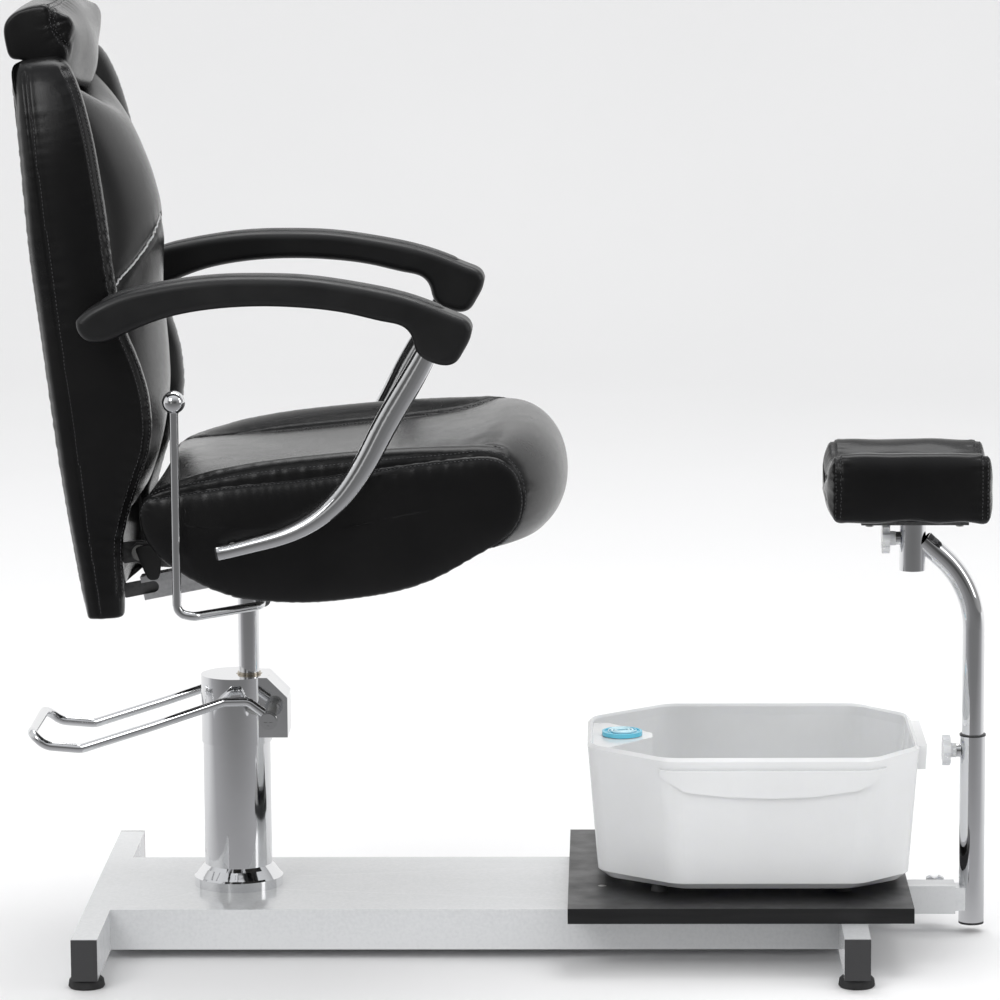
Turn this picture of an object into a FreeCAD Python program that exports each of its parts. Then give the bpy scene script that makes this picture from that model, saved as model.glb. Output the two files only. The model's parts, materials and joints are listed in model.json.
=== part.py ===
import FreeCAD, Part
import Sketcher
import math
import os

# Pedicure spa chair: a base frame with a foot basin, a pump that lifts the seat, a reclining
# back, two arms and a leg rest.  Millimetres.  +X points from the backrest to the leg rest,
# +Y to the sitter's left, +Z up.  The origin is on the floor below the middle of the overall
# length and width.

V = FreeCAD.Vector
doc = FreeCAD.newDocument("pedicure_chair")
sheet = doc.addObject("Spreadsheet::Sheet", "Dims")


class Expr:
    """A number together with the spreadsheet expression that yields it."""

    def __init__(self, value, text):
        self.value = float(value)
        self.text = text

    @staticmethod
    def of(other):
        return other if isinstance(other, Expr) else Expr(other, repr(float(other)))

    def __add__(self, other):
        other = Expr.of(other)
        return Expr(self.value + other.value, "(%s + %s)" % (self.text, other.text))

    def __sub__(self, other):
        other = Expr.of(other)
        return Expr(self.value - other.value, "(%s - %s)" % (self.text, other.text))

    def __mul__(self, other):
        other = Expr.of(other)
        return Expr(self.value * other.value, "(%s * %s)" % (self.text, other.text))

    def __truediv__(self, other):
        other = Expr.of(other)
        return Expr(self.value / other.value, "(%s / %s)" % (self.text, other.text))

    def __neg__(self):
        return Expr(-self.value, "(0 - %s)" % self.text)


ALIASES = []


def dim(alias, value, note):
    """Add a row to the sheet and return its value as an expression."""
    ALIASES.append(alias)
    row = len(ALIASES)
    sheet.set("A%d" % row, note)
    sheet.set("B%d" % row, repr(float(value)))
    sheet.setAlias("B%d" % row, alias)
    return Expr(value, "Dims." + alias)


# ---------------------------------------------------------- driving dimensions
tube_wid = dim("tube_wid", 30, "cross tube width")
tube_top = dim("tube_top", 60, "top of the base frame")
tube_bot = dim("tube_bot", 12, "underside of the base frame")
tube_len = dim("tube_len", 555, "cross tube length without its end caps")
tube_wall = dim("tube_wall", 2, "cross tube wall")
cap_lip = dim("cap_lip", 3, "end cap flange")
rear_x = dim("rear_x", -482, "rear cross tube centre")
front_x = dim("front_x", 401, "front cross tube centre")
beam_wid = dim("beam_wid", 268, "beam width")
beam_wall = dim("beam_wall", 3, "beam sheet thickness")
foot_rad = dim("foot_rad", 21, "rubber foot radius")
foot_y = dim("foot_y", 257, "rubber foot offset from the middle")
tray_x0 = dim("tray_x0", 70, "tray board rear edge")
tray_x1 = dim("tray_x1", 470, "tray board front edge")
tray_wid = dim("tray_wid", 410, "tray board width")
tray_thk = dim("tray_thk", 18, "tray board thickness")
pump_x = dim("pump_x", -326, "pump cylinder centre")
rod_x = dim("rod_x", -310, "lift rod and swivel centre")
rod_rad = dim("rod_rad", 12.5, "lift rod radius")
run_gap = dim("run_gap", 0.05, "running clearance on a radius")
cyl_rad = dim("cyl_rad", 40, "pump outer cylinder radius")
cyl_top = dim("cyl_top", 235, "top of the pump outer cylinder")
head_rad = dim("head_rad", 41.5, "pump head radius")
head_top = dim("head_top", 316, "top of the pump head")
flange_rad = dim("flange_rad", 53, "pump base flange radius")
shaft_x = dim("shaft_x", -282, "pedal shaft centre")
shaft_z = dim("shaft_z", 274, "pedal shaft height")
shaft_rad = dim("shaft_rad", 6, "pedal shaft radius")
pedal_half = dim("pedal_half", 75, "pedal side rod offset from the middle")
pedal_rad = dim("pedal_rad", 5.5, "pedal rod radius")
hinge_x = dim("hinge_x", -421, "back hinge centre")
hinge_z = dim("hinge_z", 490, "back hinge height")
arm_seat_x = dim("arm_seat_x", -306, "arm tube pivot on the seat")
arm_seat_z = dim("arm_seat_z", 508, "arm tube pivot height")
arm_back_x = dim("arm_back_x", -448, "arm pad pivot on the back")
arm_back_z = dim("arm_back_z", 768, "arm pad rear pivot height")
arm_pad_x = dim("arm_pad_x", -76, "arm pad pivot on the arm tube")
arm_pad_z = dim("arm_pad_z", 745, "arm pad front pivot height")
arm_y = dim("arm_y", 262, "arm centre offset from the middle")
pad_wid = dim("pad_wid", 50, "arm pad width")
strut_y = dim("strut_y", -50, "recline strut offset from the middle")
strut_seat_x = dim("strut_seat_x", -286, "strut pivot on the seat")
strut_seat_z = dim("strut_seat_z", 457, "strut pivot height")
strut_back_x = dim("strut_back_x", -457, "strut pin on the back")
strut_back_z = dim("strut_back_z", 424, "strut pin height")
lever_x = dim("lever_x", -281, "lever shaft centre")
lever_z = dim("lever_z", 432, "lever shaft height")
lever_y = dim("lever_y", -262, "lever stem offset from the middle")
lever_rad = dim("lever_rad", 5, "lever rod radius")
board_z = dim("board_z", 480, "underside of the seat board")
board_thk = dim("board_thk", 18, "seat board thickness")
plate_z = dim("plate_z", 474, "underside of the seat mount plate")
back_half = dim("back_half", 228, "back half width")
lean = dim("lean", 6.875, "lean of the back in degrees")
back_x = dim("back_x", -479, "lower rear corner of the back")
back_z = dim("back_z", 416, "bottom of the back")
post_x = dim("post_x", 551, "leg rest post centre")
post_rad = dim("post_rad", 15, "leg rest post radius")
post_top = dim("post_top", 239, "top of the leg rest post")
post_bot = dim("post_bot", 13, "bottom of the leg rest post")
arm_half = dim("arm_half", 14, "half side of the sliding square arm")
arm_cz = dim("arm_cz", 42, "sliding arm centre height")
bent_rad = dim("bent_rad", 13, "bent tube radius")
bent_bot = dim("bent_bot", 100, "lower end of the bent tube")
bent_bend = dim("bent_bend", 115, "bend radius of the bent tube")
sleeve_x = dim("sleeve_x", 478, "pad sleeve centre")
sleeve_rad = dim("sleeve_rad", 15.5, "pad sleeve radius")
sleeve_bot = dim("sleeve_bot", 439, "pad sleeve bottom")
sleeve_top = dim("sleeve_top", 497, "pad sleeve top")
stem_rad = dim("stem_rad", 12, "pad stem radius")
lpad_x0 = dim("lpad_x0", 371, "foot pad rear end")
lpad_x1 = dim("lpad_x1", 568, "foot pad front end")
lpad_z0 = dim("lpad_z0", 504, "foot pad underside")
lpad_z1 = dim("lpad_z1", 586, "foot pad top ridge")
lpad_half = dim("lpad_half", 75, "foot pad half width")
knob_rad = dim("knob_rad", 18, "star knob radius")
knob_thk = dim("knob_thk", 9, "star knob head thickness")
basin_z0 = dim("basin_z0", 87, "basin underside")
basin_z1 = dim("basin_z1", 246, "basin rim height")
basin_wall = dim("basin_wall", 3.5, "basin wall")
dial_x = dim("dial_x", 134, "basin dial centre")
dial_rad = dim("dial_rad", 24, "basin dial radius")
doc.recompute()

# --------------------------------------------------------------------- helpers
# Lengths and places given to the helpers may be plain numbers or Expr values.
NODES = []
SIDES = (-1, 1)  # right, left
ALONG_Y = V(0, 1, 0)
AXIS_ROT = {
    "x": FreeCAD.Rotation(V(0, 1, 0), 90),
    "y": FreeCAD.Rotation(V(1, 0, 0), -90),
    "z": FreeCAD.Rotation(),
}


def node(obj, label):
    """Register a finished piece for export."""
    obj.Label = label
    NODES.append(obj)


def num(value):
    return value.value if isinstance(value, Expr) else float(value)


def vec(x, y, z):
    return V(num(x), num(y), num(z))


def grid(xs, ys):
    return [(x, y) for x in xs for y in ys]


def span(side, inner, outer):
    """Low and high y of a piece between two distances from the middle."""
    return (inner, outer) if side > 0 else (-outer, -inner)


def put(obj, prop, value):
    """Set a property and bind it to the sheet when it carries an expression."""
    setattr(obj, prop, num(value))
    if isinstance(value, Expr):
        obj.setExpression(prop, value.text)


def place(obj, x, y, z, rot=None):
    obj.Placement = FreeCAD.Placement(vec(x, y, z), rot or FreeCAD.Rotation())
    for axis, value in (("x", x), ("y", y), ("z", z)):
        if isinstance(value, Expr):
            obj.setExpression("Placement.Base.%s" % axis, value.text)


def box(x0, x1, y0, y1, z0, z1):
    obj = doc.addObject("Part::Box", "Box")
    put(obj, "Length", Expr.of(x1) - x0)
    put(obj, "Width", Expr.of(y1) - y0)
    put(obj, "Height", Expr.of(z1) - z0)
    place(obj, x0, y0, z0)
    return obj


def cyl(radius, length, x, y, z, axis="z"):
    """Cylinder starting at (x, y, z) and running along the positive axis."""
    obj = doc.addObject("Part::Cylinder", "Cylinder")
    put(obj, "Radius", radius)
    put(obj, "Height", length)
    place(obj, x, y, z, AXIS_ROT[axis])
    return obj


def cone(low_radius, high_radius, length, x, y, z):
    obj = doc.addObject("Part::Cone", "Cone")
    put(obj, "Radius1", low_radius)
    put(obj, "Radius2", high_radius)
    put(obj, "Height", length)
    place(obj, x, y, z)
    return obj


def hexagon(corner_radius, length, x, y, z, axis="z"):
    obj = doc.addObject("Part::Prism", "Prism")
    obj.Polygon = 6
    put(obj, "Circumradius", corner_radius)
    put(obj, "Height", length)
    place(obj, x, y, z, AXIS_ROT[axis])
    return obj


def fuse(*parts):
    obj = doc.addObject("Part::MultiFuse", "Fusion")
    obj.Shapes = list(parts)
    obj.Refine = True
    return obj


def common(first, second):
    obj = doc.addObject("Part::MultiCommon", "Common")
    obj.Shapes = [first, second]
    return obj


def cut(base, *tools):
    obj = doc.addObject("Part::Cut", "Cut")
    obj.Base = base
    obj.Tool = tools[0] if len(tools) == 1 else fuse(*tools)
    obj.Refine = True
    return obj


def group(*parts):
    obj = doc.addObject("Part::Compound", "Compound")
    obj.Links = list(parts)
    return obj


def mirror_y(source):
    obj = doc.addObject("Part::Mirroring", "Mirror")
    obj.Source = source
    obj.Base = V(0, 0, 0)
    obj.Normal = ALONG_Y
    return obj


def both(obj):
    """The piece together with its mirror image on the other side."""
    return group(obj, mirror_y(obj))


def feature(shape):
    obj = doc.addObject("Part::Feature", "Solid")
    obj.Shape = shape
    return obj


def sketch_poly(body, role, points):
    """Closed polygon; every corner is held by two dimensions from the origin."""
    sketch = body.newObject("Sketcher::SketchObject", "Sketch")
    plane = next(f for f in body.Origin.OriginFeatures if f.Role == role)
    sketch.AttachmentSupport = [(plane, "")]
    sketch.MapMode = "FlatFace"
    count = len(points)
    corners = [vec(a, b, 0) for a, b in points]
    for i in range(count):
        sketch.addGeometry(Part.LineSegment(corners[i], corners[(i + 1) % count]), False)
    for i in range(count):
        sketch.addConstraint(Sketcher.Constraint("Coincident", i, 2, (i + 1) % count, 1))
    for i, (a, b) in enumerate(points):
        for kind, value, axis in (("DistanceX", a, -2), ("DistanceY", b, -1)):
            if abs(num(value)) < 1e-9:
                sketch.addConstraint(Sketcher.Constraint("PointOnObject", i, 1, axis))
                continue
            index = sketch.addConstraint(Sketcher.Constraint(kind, -1, 1, i, 1, num(value)))
            if isinstance(value, Expr):
                sketch.setExpression("Constraints[%d]" % index, value.text)
    return sketch


def padded(role, points, length):
    """Body with one pad of the outline drawn on the named origin plane."""
    body = doc.addObject("PartDesign::Body", "Body")
    sketch = sketch_poly(body, role, points)
    pad = body.newObject("PartDesign::Pad", "Pad")
    pad.Profile = sketch
    put(pad, "Length", length)
    return body, pad


def extrude_x(points, x0, x1):
    """Cross outline (y, z) extruded from x0 to x1."""
    body, _ = padded("YZ_Plane", points, Expr.of(x1) - x0)
    place(body, x0, 0, 0)
    return body


def extrude_y(points, width, y=0, x=0, z=0, rot=None):
    """Side profile (x, z) extruded symmetrically about its own y."""
    body, pad = padded("XZ_Plane", points, width)
    # the property for a symmetric pad depends on the FreeCAD version
    if "SideType" in pad.PropertiesList:
        pad.SideType = "Symmetric"
    else:
        pad.Midplane = True
    place(body, x, y, z, rot)
    return body


def extrude_z(points, z0, z1):
    """Plan outline (x, y) extruded from z0 to z1."""
    body, _ = padded("XY_Plane", points, Expr.of(z1) - z0)
    place(body, 0, 0, z0)
    return body


def revolve_z(points, x, y):
    """Half profile (radius, z) turned about a vertical axis through (x, y)."""
    body = doc.addObject("PartDesign::Body", "Body")
    sketch = sketch_poly(body, "XZ_Plane", points)
    turn = body.newObject("PartDesign::Revolution", "Revolution")
    turn.Profile = sketch
    turn.ReferenceAxis = (sketch, ["V_Axis"])
    turn.Angle = 360
    place(body, x, y, 0)
    return body


def line(start, end):
    return Part.LineSegment(start, end).toShape()


def round_corner(before, corner, after, radius):
    """Start, end and arc edge of the rounding of one corner."""
    back = (before - corner).normalize()
    ahead = (after - corner).normalize()
    half = back.getAngle(ahead) / 2.0
    reach = radius / math.tan(half)
    start = corner + back * reach
    end = corner + ahead * reach
    inward = (back + ahead).normalize()
    centre = corner + inward * (radius / math.sin(half))
    return start, end, Part.Arc(start, centre - inward * radius, end).toShape()


def pipe(points, bends, radius):
    """Round rod along a polyline whose inner corners are bent to the given radii."""
    edges = []
    last = points[0]
    for i, bend in enumerate(bends, 1):
        start, end, arc = round_corner(points[i - 1], points[i], points[i + 1], bend)
        if (start - last).Length > 1e-6:
            edges.append(line(last, start))
        edges.append(arc)
        last = end
    if (points[-1] - last).Length > 1e-6:
        edges.append(line(last, points[-1]))
    heading = (points[1] - points[0]).normalize()
    ring = Part.Wire([Part.Circle(points[0], heading, num(radius)).toShape()])
    return Part.Wire(edges).makePipeShell([ring], True, False)


def y_cylinder(radius, length, x, y, z):
    """Plain cylinder shape running along +Y."""
    return Part.makeCylinder(num(radius), length, vec(x, y, z), ALONG_Y)


def from_pump(points):
    """Profile (x, z) with x measured from the pump centre, moved to chair x."""
    return [(x + pump_x.value, z) for x, z in points]


# ------------------------------------------------------------------ base frame
half_wid = tube_wid / 2
half_len = tube_len / 2
beam_half = beam_wid / 2
tray_half = tray_wid / 2
tray_top = tube_top + tray_thk
foot_places = grid((rear_x, front_x), (-foot_y, foot_y))
pump_bolt_places = grid((pump_x - 28, pump_x + 28), (-28, 28))
tray_screw_places = grid((tray_x0 + 40, tray_x1 - 120), (-90, 90))


def arm_square(x0, x1, extra):
    """Square bar along the sliding arm, larger than it by extra on each side."""
    half = arm_half + extra
    return box(x0, x1, -half, half, arm_cz - half, arm_cz + half)


def cross_tube(x, *openings):
    outer = box(x - half_wid, x + half_wid, -half_len, half_len, tube_bot, tube_top)
    bore = box(x - half_wid + tube_wall, x + half_wid - tube_wall, -half_len - 1, half_len + 1,
               tube_bot + tube_wall, tube_top - tube_wall)
    holes = [cyl(4.1, tube_wall + 2, x, foot_y * side, tube_bot - 1) for side in SIDES]
    return cut(outer, bore, *holes, *openings)


node(cross_tube(rear_x), "rear_cross_tube")
arm_opening = arm_square(front_x - half_wid - 1, front_x + half_wid + 1, 0.6)
node(cross_tube(front_x, arm_opening), "front_cross_tube")


def base_beam():
    """Folded channel, slotted underneath, that joins the two cross tubes."""
    flange = 22
    x0, x1 = rear_x + half_wid, front_x - half_wid
    sheet_under = tube_top - beam_wall
    outer = box(x0, x1, -beam_half, beam_half, tube_bot, tube_top)
    tools = [
        box(x0 - 1, x1 + 1, -beam_half + beam_wall, beam_half - beam_wall,
            tube_bot + beam_wall, sheet_under),
        box(x0 - 1, x1 + 1, -beam_half + flange, beam_half - flange,
            tube_bot - 1, tube_bot + beam_wall + 1),
    ]
    for radius, places in ((4.3, pump_bolt_places), (2.6, tray_screw_places)):
        tools += [cyl(radius, beam_wall + 2, x, y, sheet_under - 1) for x, y in places]
    # plate welded under the top sheet; it steadies the rear part of the sliding arm
    guide = cut(box(298, 302, -45, 45, tube_bot + 6, sheet_under), arm_square(297, 303, 0.4))
    return fuse(cut(outer, *tools), guide)


node(base_beam(), "base_beam")


def end_cap(x, side):
    """Hollow plastic plug closing one tube end."""
    slack = tube_wall + 0.1
    skin = slack + 2.5
    flange = box(x - half_wid, x + half_wid, *span(side, half_len, half_len + cap_lip),
                 tube_bot, tube_top)
    shank = box(x - half_wid + slack, x + half_wid - slack, *span(side, half_len - 14, half_len),
                tube_bot + slack, tube_top - slack)
    hollow = box(x - half_wid + skin, x + half_wid - skin,
                 *span(side, half_len - 15, half_len - 1.5), tube_bot + skin, tube_top - skin)
    return cut(fuse(flange, shank), hollow)


node(group(*[end_cap(x, side) for x in (rear_x, front_x) for side in SIDES]), "tube_end_caps")

# rubber feet, profile (radius, z), and the screws that hold them
foot_profile = [
    (4.2, 6), (7.5, 6), (7.5, 0), (foot_rad - 1.5, 0), (foot_rad, 2), (foot_rad - 1, 9),
    (foot_rad - 4, tube_bot), (4.2, tube_bot),
]
node(group(*[revolve_z(foot_profile, x, y) for x, y in foot_places]), "rubber_feet")
node(group(*[fuse(cyl(7, 3.5, x, y, 2.4), cyl(4, 26, x, y, 5.0)) for x, y in foot_places]),
     "foot_screws")

# tray board for the basin and its countersunk screws
tray_tools = []
for x, y in tray_screw_places:
    tray_tools.append(cyl(2.6, tray_thk + 2, x, y, tube_top - 1))
    tray_tools.append(cone(2.6, 5.2, 3, x, y, tray_top - 3))
tray = box(tray_x0, tray_x1, -tray_half, tray_half, tube_top, tray_top)
node(cut(tray, *tray_tools), "tray_board")
node(group(*[fuse(cyl(2.5, tray_thk + 8, x, y, tube_top - 9.2),
                  cone(2.5, 4.9, 2.9, x, y, tray_top - 3.1)) for x, y in tray_screw_places]),
     "tray_screws")

# square sleeve welded to the front tube, with its threaded boss on the left
clamp_x = 510
stud_hole_rad = 4.05
node(cut(fuse(arm_square(front_x + half_wid, 531, 3),
              cyl(9, 8, clamp_x, arm_half + 2, arm_cz, "y")),
         arm_square(front_x + half_wid - 1, 532, 0.5),
         cyl(stud_hole_rad, 20, clamp_x, arm_half - 3, arm_cz, "y")), "arm_guide_sleeve")


# ------------------------------------------------------------------ star knobs
def star_knob(x, y, z, outward, reach, label):
    """Scalloped knob with a hollow back; its stud runs inward by reach from (x, y, z)."""
    base = vec(x, y, z)
    radius, thick = knob_rad.value, knob_thk.value
    scallops = 7

    def disc(disc_rad, length, start, offset=V(0, 0, 0)):
        return Part.makeCylinder(disc_rad, length, base + offset + outward * start, outward)

    head = disc(radius, thick, 7)
    for i in range(scallops):
        turn = FreeCAD.Rotation(outward, 360.0 * i / scallops)
        head = head.cut(disc(6.2, thick + 4, 5, turn.multVec(V(0, 0, 1)) * (radius + 3.2)))
    hollow = disc(radius - 6.2, 4, 5).cut(disc(8.4, 4, 5)).common(disc(radius, 4, 7))
    hub = disc(8.5, 7.5, 0)
    head = head.fuse(hub).cut(hollow).cut(disc(4.0, 12.05, -0.05)).removeSplitter()
    stud = disc(3.97, reach + 11.9, -reach)
    node(feature(Part.makeCompound([head, stud])), label)


star_knob(clamp_x, arm_half + 10.4, arm_cz, V(0, 1, 0), 9.9, "arm_clamp_knob")

# ------------------------------------------------------------------------ pump
plunger_x = pump_x + 38

# outer cylinder with its base flange, profile (radius, z)
outer_profile = [
    (22.1, tube_top), (flange_rad, tube_top), (flange_rad, tube_top + 11),
    (flange_rad - 2, tube_top + 13), (cyl_rad + 4, tube_top + 22), (cyl_rad, tube_top + 26),
    (cyl_rad, cyl_top), (36.5, cyl_top), (36.5, tube_top + 12), (22.1, tube_top + 12),
]
pump_outer = cut(revolve_z(outer_profile, pump_x, 0), cyl(18.5, 14, rod_x, 0, tube_top - 1))
node(cut(pump_outer, *[cyl(3.95, 11, x, y, tube_top - 1) for x, y in pump_bolt_places]),
     "pump_outer_cylinder")
node(group(*[fuse(hexagon(7.2, 5, x, y, tube_top - beam_wall - 5),
                  cyl(3.9, 13, x, y, tube_top - beam_wall - 1)) for x, y in pump_bolt_places]),
     "pump_bolts")

pressure = fuse(cyl(22, 10, pump_x, 0, tube_top),
                cyl(18.3, cyl_top - tube_top - 1.5, rod_x, 0, tube_top))
node(cut(pressure, cyl(15.05, cyl_top - tube_top, rod_x, 0, tube_top + 9)), "pressure_tube")


def pump_head():
    """Round head with a hood towards the front; profiles are (x from the pump, z)."""
    core = cyl(head_rad, head_top - cyl_top, pump_x, 0, cyl_top)
    hood = extrude_y([(0, 244), (63, 244), (63, 292), (39, head_top), (0, head_top)],
                     60, 0, pump_x)
    shaft_boss = cyl(13, 64, shaft_x, -32, shaft_z, "y")
    cavity = extrude_y([(33, 251), (42.5, 251), (42.5, 243), (56, 243), (56, 288.5),
                        (35.5, 309), (33, 309)], 46, 0, pump_x)
    return cut(fuse(core, hood, shaft_boss),
               cavity,
               cyl(13.5, head_top - cyl_top + 4, rod_x, 0, cyl_top - 1),
               cyl(15.65, 25, rod_x, 0, head_top - 25),
               cyl(shaft_rad + run_gap, 80, shaft_x, -40, shaft_z, "y"),
               cyl(3.7, 30, plunger_x, 0, cyl_top - 2))


node(pump_head(), "pump_head")

# bush and seal round the lift rod
seat_rad = 15.6
rod_bore = rod_rad + run_gap
node(cut(fuse(cyl(seat_rad, 18, rod_x, 0, head_top - 18), cyl(13.9, 2.6, rod_x, 0, head_top)),
         cyl(rod_bore, 30, rod_x, 0, head_top - 22)), "gland_bush")
node(cut(cyl(seat_rad, 6.6, rod_x, 0, head_top - 24.8),
         cyl(rod_bore, 10, rod_x, 0, head_top - 26)), "rod_seal")

# lift rod with its piston; it ends in the seat socket
rod_profile = [(0, 145), (15, 145), (15, 160), (rod_rad, 160), (rod_rad, 430),
               (rod_rad - 0.6, 466), (0, 466)]
node(revolve_z(rod_profile, rod_x, 0), "lift_rod")


def foot_pedal():
    """One bent rod from side to side, with an eye for the shaft at each end."""
    # right half of the rod from its shaft end to its rear end: x, z, bend radius
    stations = [
        (shaft_x - 6, 283, None), (shaft_x - 24, 296.5, 12), (pump_x - 8, 296, 14),
        (pump_x - 94, 267, 60), (pump_x - 178, 240.5, 22), (pump_x - 219, 244, 24),
        (pump_x - 237, 258, 16),
    ]
    right = [vec(x, -pedal_half, z) for x, z, _ in stations]
    left = [vec(x, pedal_half, z) for x, z, _ in stations]
    bends = [bend for _, _, bend in stations[1:]]
    rod = pipe(right + left[::-1], bends + bends[::-1], pedal_rad)
    for side in SIDES:
        rod = rod.fuse(y_cylinder(10.5, 11, shaft_x, pedal_half * side - 5.5, shaft_z))
    for side in SIDES:
        rod = rod.cut(y_cylinder(shaft_rad + run_gap, 20, shaft_x, pedal_half * side - 10,
                                 shaft_z))
    return feature(rod.removeSplitter())


node(foot_pedal(), "foot_pedal")

# pedal shaft with its cam, bored at both ends for the pedal bolts
shaft_end = pedal_half + 5.3
cam = extrude_y([(-10.2, -7.0), (-3, -7.8), (6, -6), (6, 6), (0, 7), (-9, -1)],
                14, 0, shaft_x, shaft_z)
node(cut(fuse(cyl(shaft_rad, shaft_end * 2, shaft_x, -shaft_end, shaft_z, "y"), cam),
         cyl(3.05, 16, shaft_x, -pedal_half - 6, shaft_z, "y"),
         cyl(3.05, 16, shaft_x, pedal_half - 10, shaft_z, "y")), "pedal_shaft")


def pedal_bolt(side):
    """Bolt with a cross slot in its head."""
    seat = pedal_half + 5.6
    shank = cyl(3, 14, shaft_x, span(side, seat - 14, seat)[0], shaft_z, "y")
    head = cyl(9.5, 4, shaft_x, span(side, seat, seat + 4)[0], shaft_z, "y")
    slots = [box(shaft_x - half_x, shaft_x + half_x, *span(side, seat + 2, seat + 5),
                 shaft_z - half_z, shaft_z + half_z) for half_x, half_z in ((1, 5), (5, 1))]
    return cut(fuse(shank, head), *slots)


node(group(*[pedal_bolt(side) for side in SIDES]), "pedal_bolts")
node(fuse(cyl(3.6, 23, plunger_x, 0, 240), cyl(4.6, 4, plunger_x, 0, 262)), "pump_plunger")


def plunger_spring():
    turns, pitch, coil_rad, wire_rad, bottom = 3.5, 2.3, 4.4, 0.48, 252.6
    steps = 16  # curve points in one turn
    points = []
    for k in range(int(turns * steps) + 1):
        angle = 2 * math.pi * k / steps
        points.append(V(plunger_x.value + coil_rad * math.cos(angle),
                        coil_rad * math.sin(angle), bottom + pitch * k / steps))
    curve = Part.BSplineCurve()
    curve.interpolate(points)
    ring = Part.Circle(curve.value(0), curve.tangent(0)[0], wire_rad)
    path = Part.Wire([curve.toShape()])
    return feature(path.makePipeShell([Part.Wire([ring.toShape()])], True, True))


node(plunger_spring(), "plunger_spring")

# -------------------------------------------------------- seat mount and board
seat_bolt_places = grid((rod_x - 80, rod_x + 80), (-75, 75))
hinge_rad = 6
pivot_rad = 4.95  # arm and strut pivots on the seat

# socket for the lift rod, profile (radius, z), with the plate and a rib to front and rear
socket = revolve_z([(rod_bore, 410), (20, 410), (22, 416), (22, 440), (30, plate_z),
                    (rod_bore, plate_z)], rod_x, 0)
mount_plate = box(rod_x - 100, rod_x + 100, -90, 90, plate_z, board_z)
ribs = [extrude_y([(20 * way, 418), (24 * way, 418), (88 * way, 468), (88 * way, plate_z),
                   (20 * way, plate_z)], 5, 0, rod_x) for way in (-1, 1)]
node(cut(fuse(socket, mount_plate, *ribs),
         *[cyl(4.3, 8, x, y, plate_z - 1) for x, y in seat_bolt_places]), "seat_mount_plate")

board = box(-386, -50, -180, 180, board_z, board_z + board_thk)
node(cut(board, *[cyl(4.1, board_thk + 2, x, y, board_z - 1) for x, y in seat_bolt_places]),
     "seat_board")
node(group(*[fuse(hexagon(7.2, 5.5, x, y, plate_z - 5.5), cyl(4, 23, x, y, plate_z - 1))
             for x, y in seat_bolt_places]), "seat_bolts")

# side plates that carry the arm pivots, and the two back hinge brackets; profiles (x, z)
side_profile = [(-340, 474), (-262, 474), (-262, 500), (-292, 526), (-320, 526), (-340, 500)]
side_plate = cut(extrude_y(side_profile, 4, -182.5),
                 cyl(5.2, 8, arm_seat_x, -186, arm_seat_z, "y"))
hinge_profile = [
    (hinge_x - 10, 482), (hinge_x + 4, 474), (-300, 468), (-300, 479.5), (-387, 479.5),
    (-387, 499), (hinge_x - 4, 501), (hinge_x - 10, 495),
]
hinge_bracket = cut(extrude_y(hinge_profile, 6, -162),
                    cyl(run_gap + hinge_rad, 8, hinge_x, -166, hinge_z, "y"))
node(group(side_plate, mirror_y(side_plate), hinge_bracket, mirror_y(hinge_bracket)),
     "seat_side_brackets")

# ------------------------------------------------------------- seat upholstery
# middle cushion, side profile: x from the pump centre, z
CUSHION_SIDE = [
    (-70, 501), (-86, 520), (-90, 549), (-84, 566), (-58, 577), (22, 592), (101, 600),
    (215, 612), (294, 621), (345, 614), (378, 598), (393, 570), (388, 540), (368, 516),
    (335, 501),
]
# middle cushion, plan outline: x, y
CUSHION_PLAN = [
    (-460, -191), (-460, 191), (30, 191), (52, 140), (64, 80), (68.5, 0), (64, -80),
    (52, -140), (30, -191),
]
# side bolsters, which hang lower: x from the pump centre, z
BOLSTER_SIDE = [
    (-90, 549), (-86, 563), (-79, 571), (-56, 575), (22, 590), (101, 600), (215, 614),
    (294, 622), (322, 620), (336, 610), (348, 590), (351, 563), (344, 534), (327, 514),
    (293, 494), (247, 468), (202, 453), (145, 444), (99, 440), (56, 442), (25, 445),
    (-14, 459), (-60, 484), (-78, 503), (-86, 517),
]

# pockets along the sides for the side plates, their nuts and the hinge brackets
pockets = []
for side in SIDES:
    pockets.append(box(-347, -255, *span(side, 172, 192), 495, 531))
    pockets.append(box(-440, -384, *span(side, 156, 168), 495, 509))
cushion = common(extrude_y(from_pump(CUSHION_SIDE), 381), extrude_z(CUSHION_PLAN, 480, 660))
node(cut(cushion, *pockets), "seat_cushion")
node(both(cut(extrude_y(from_pump(BOLSTER_SIDE), 43.5, -213.25),
              cyl(6, 60, arm_seat_x, -240, arm_seat_z, "y"))), "seat_side_bolsters")


# ------------------------------------------- recline brackets and strut
def cheeks(x, z, top, thick, starts):
    """Hanging plates with round lower ends, one from each start y."""
    parts = []
    for y in starts:
        parts.append(box(x - 9, x + 9, y, Expr.of(y) + thick, z, top))
        parts.append(cyl(9, thick, x, y, z, "y"))
    return fuse(*parts)


lever_bracket = cut(cheeks(lever_x, lever_z, board_z, 6, (-150, -100)),
                    cyl(lever_rad + run_gap, 80, lever_x, -160, lever_z, "y"))
strut_cheeks = cut(cheeks(strut_seat_x, strut_seat_z, plate_z, 5, (strut_y - 18, strut_y + 13)),
                   cyl(pivot_rad, 60, strut_seat_x, strut_y - 30, strut_seat_z, "y"))
strut_anchor = fuse(strut_cheeks,
                    cyl(pivot_rad, 44, strut_seat_x, strut_y - 22, strut_seat_z, "y"),
                    cyl(7.5, 3.5, strut_seat_x, strut_y - 22, strut_seat_z, "y"))
node(group(lever_bracket, strut_anchor), "recline_brackets")

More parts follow.
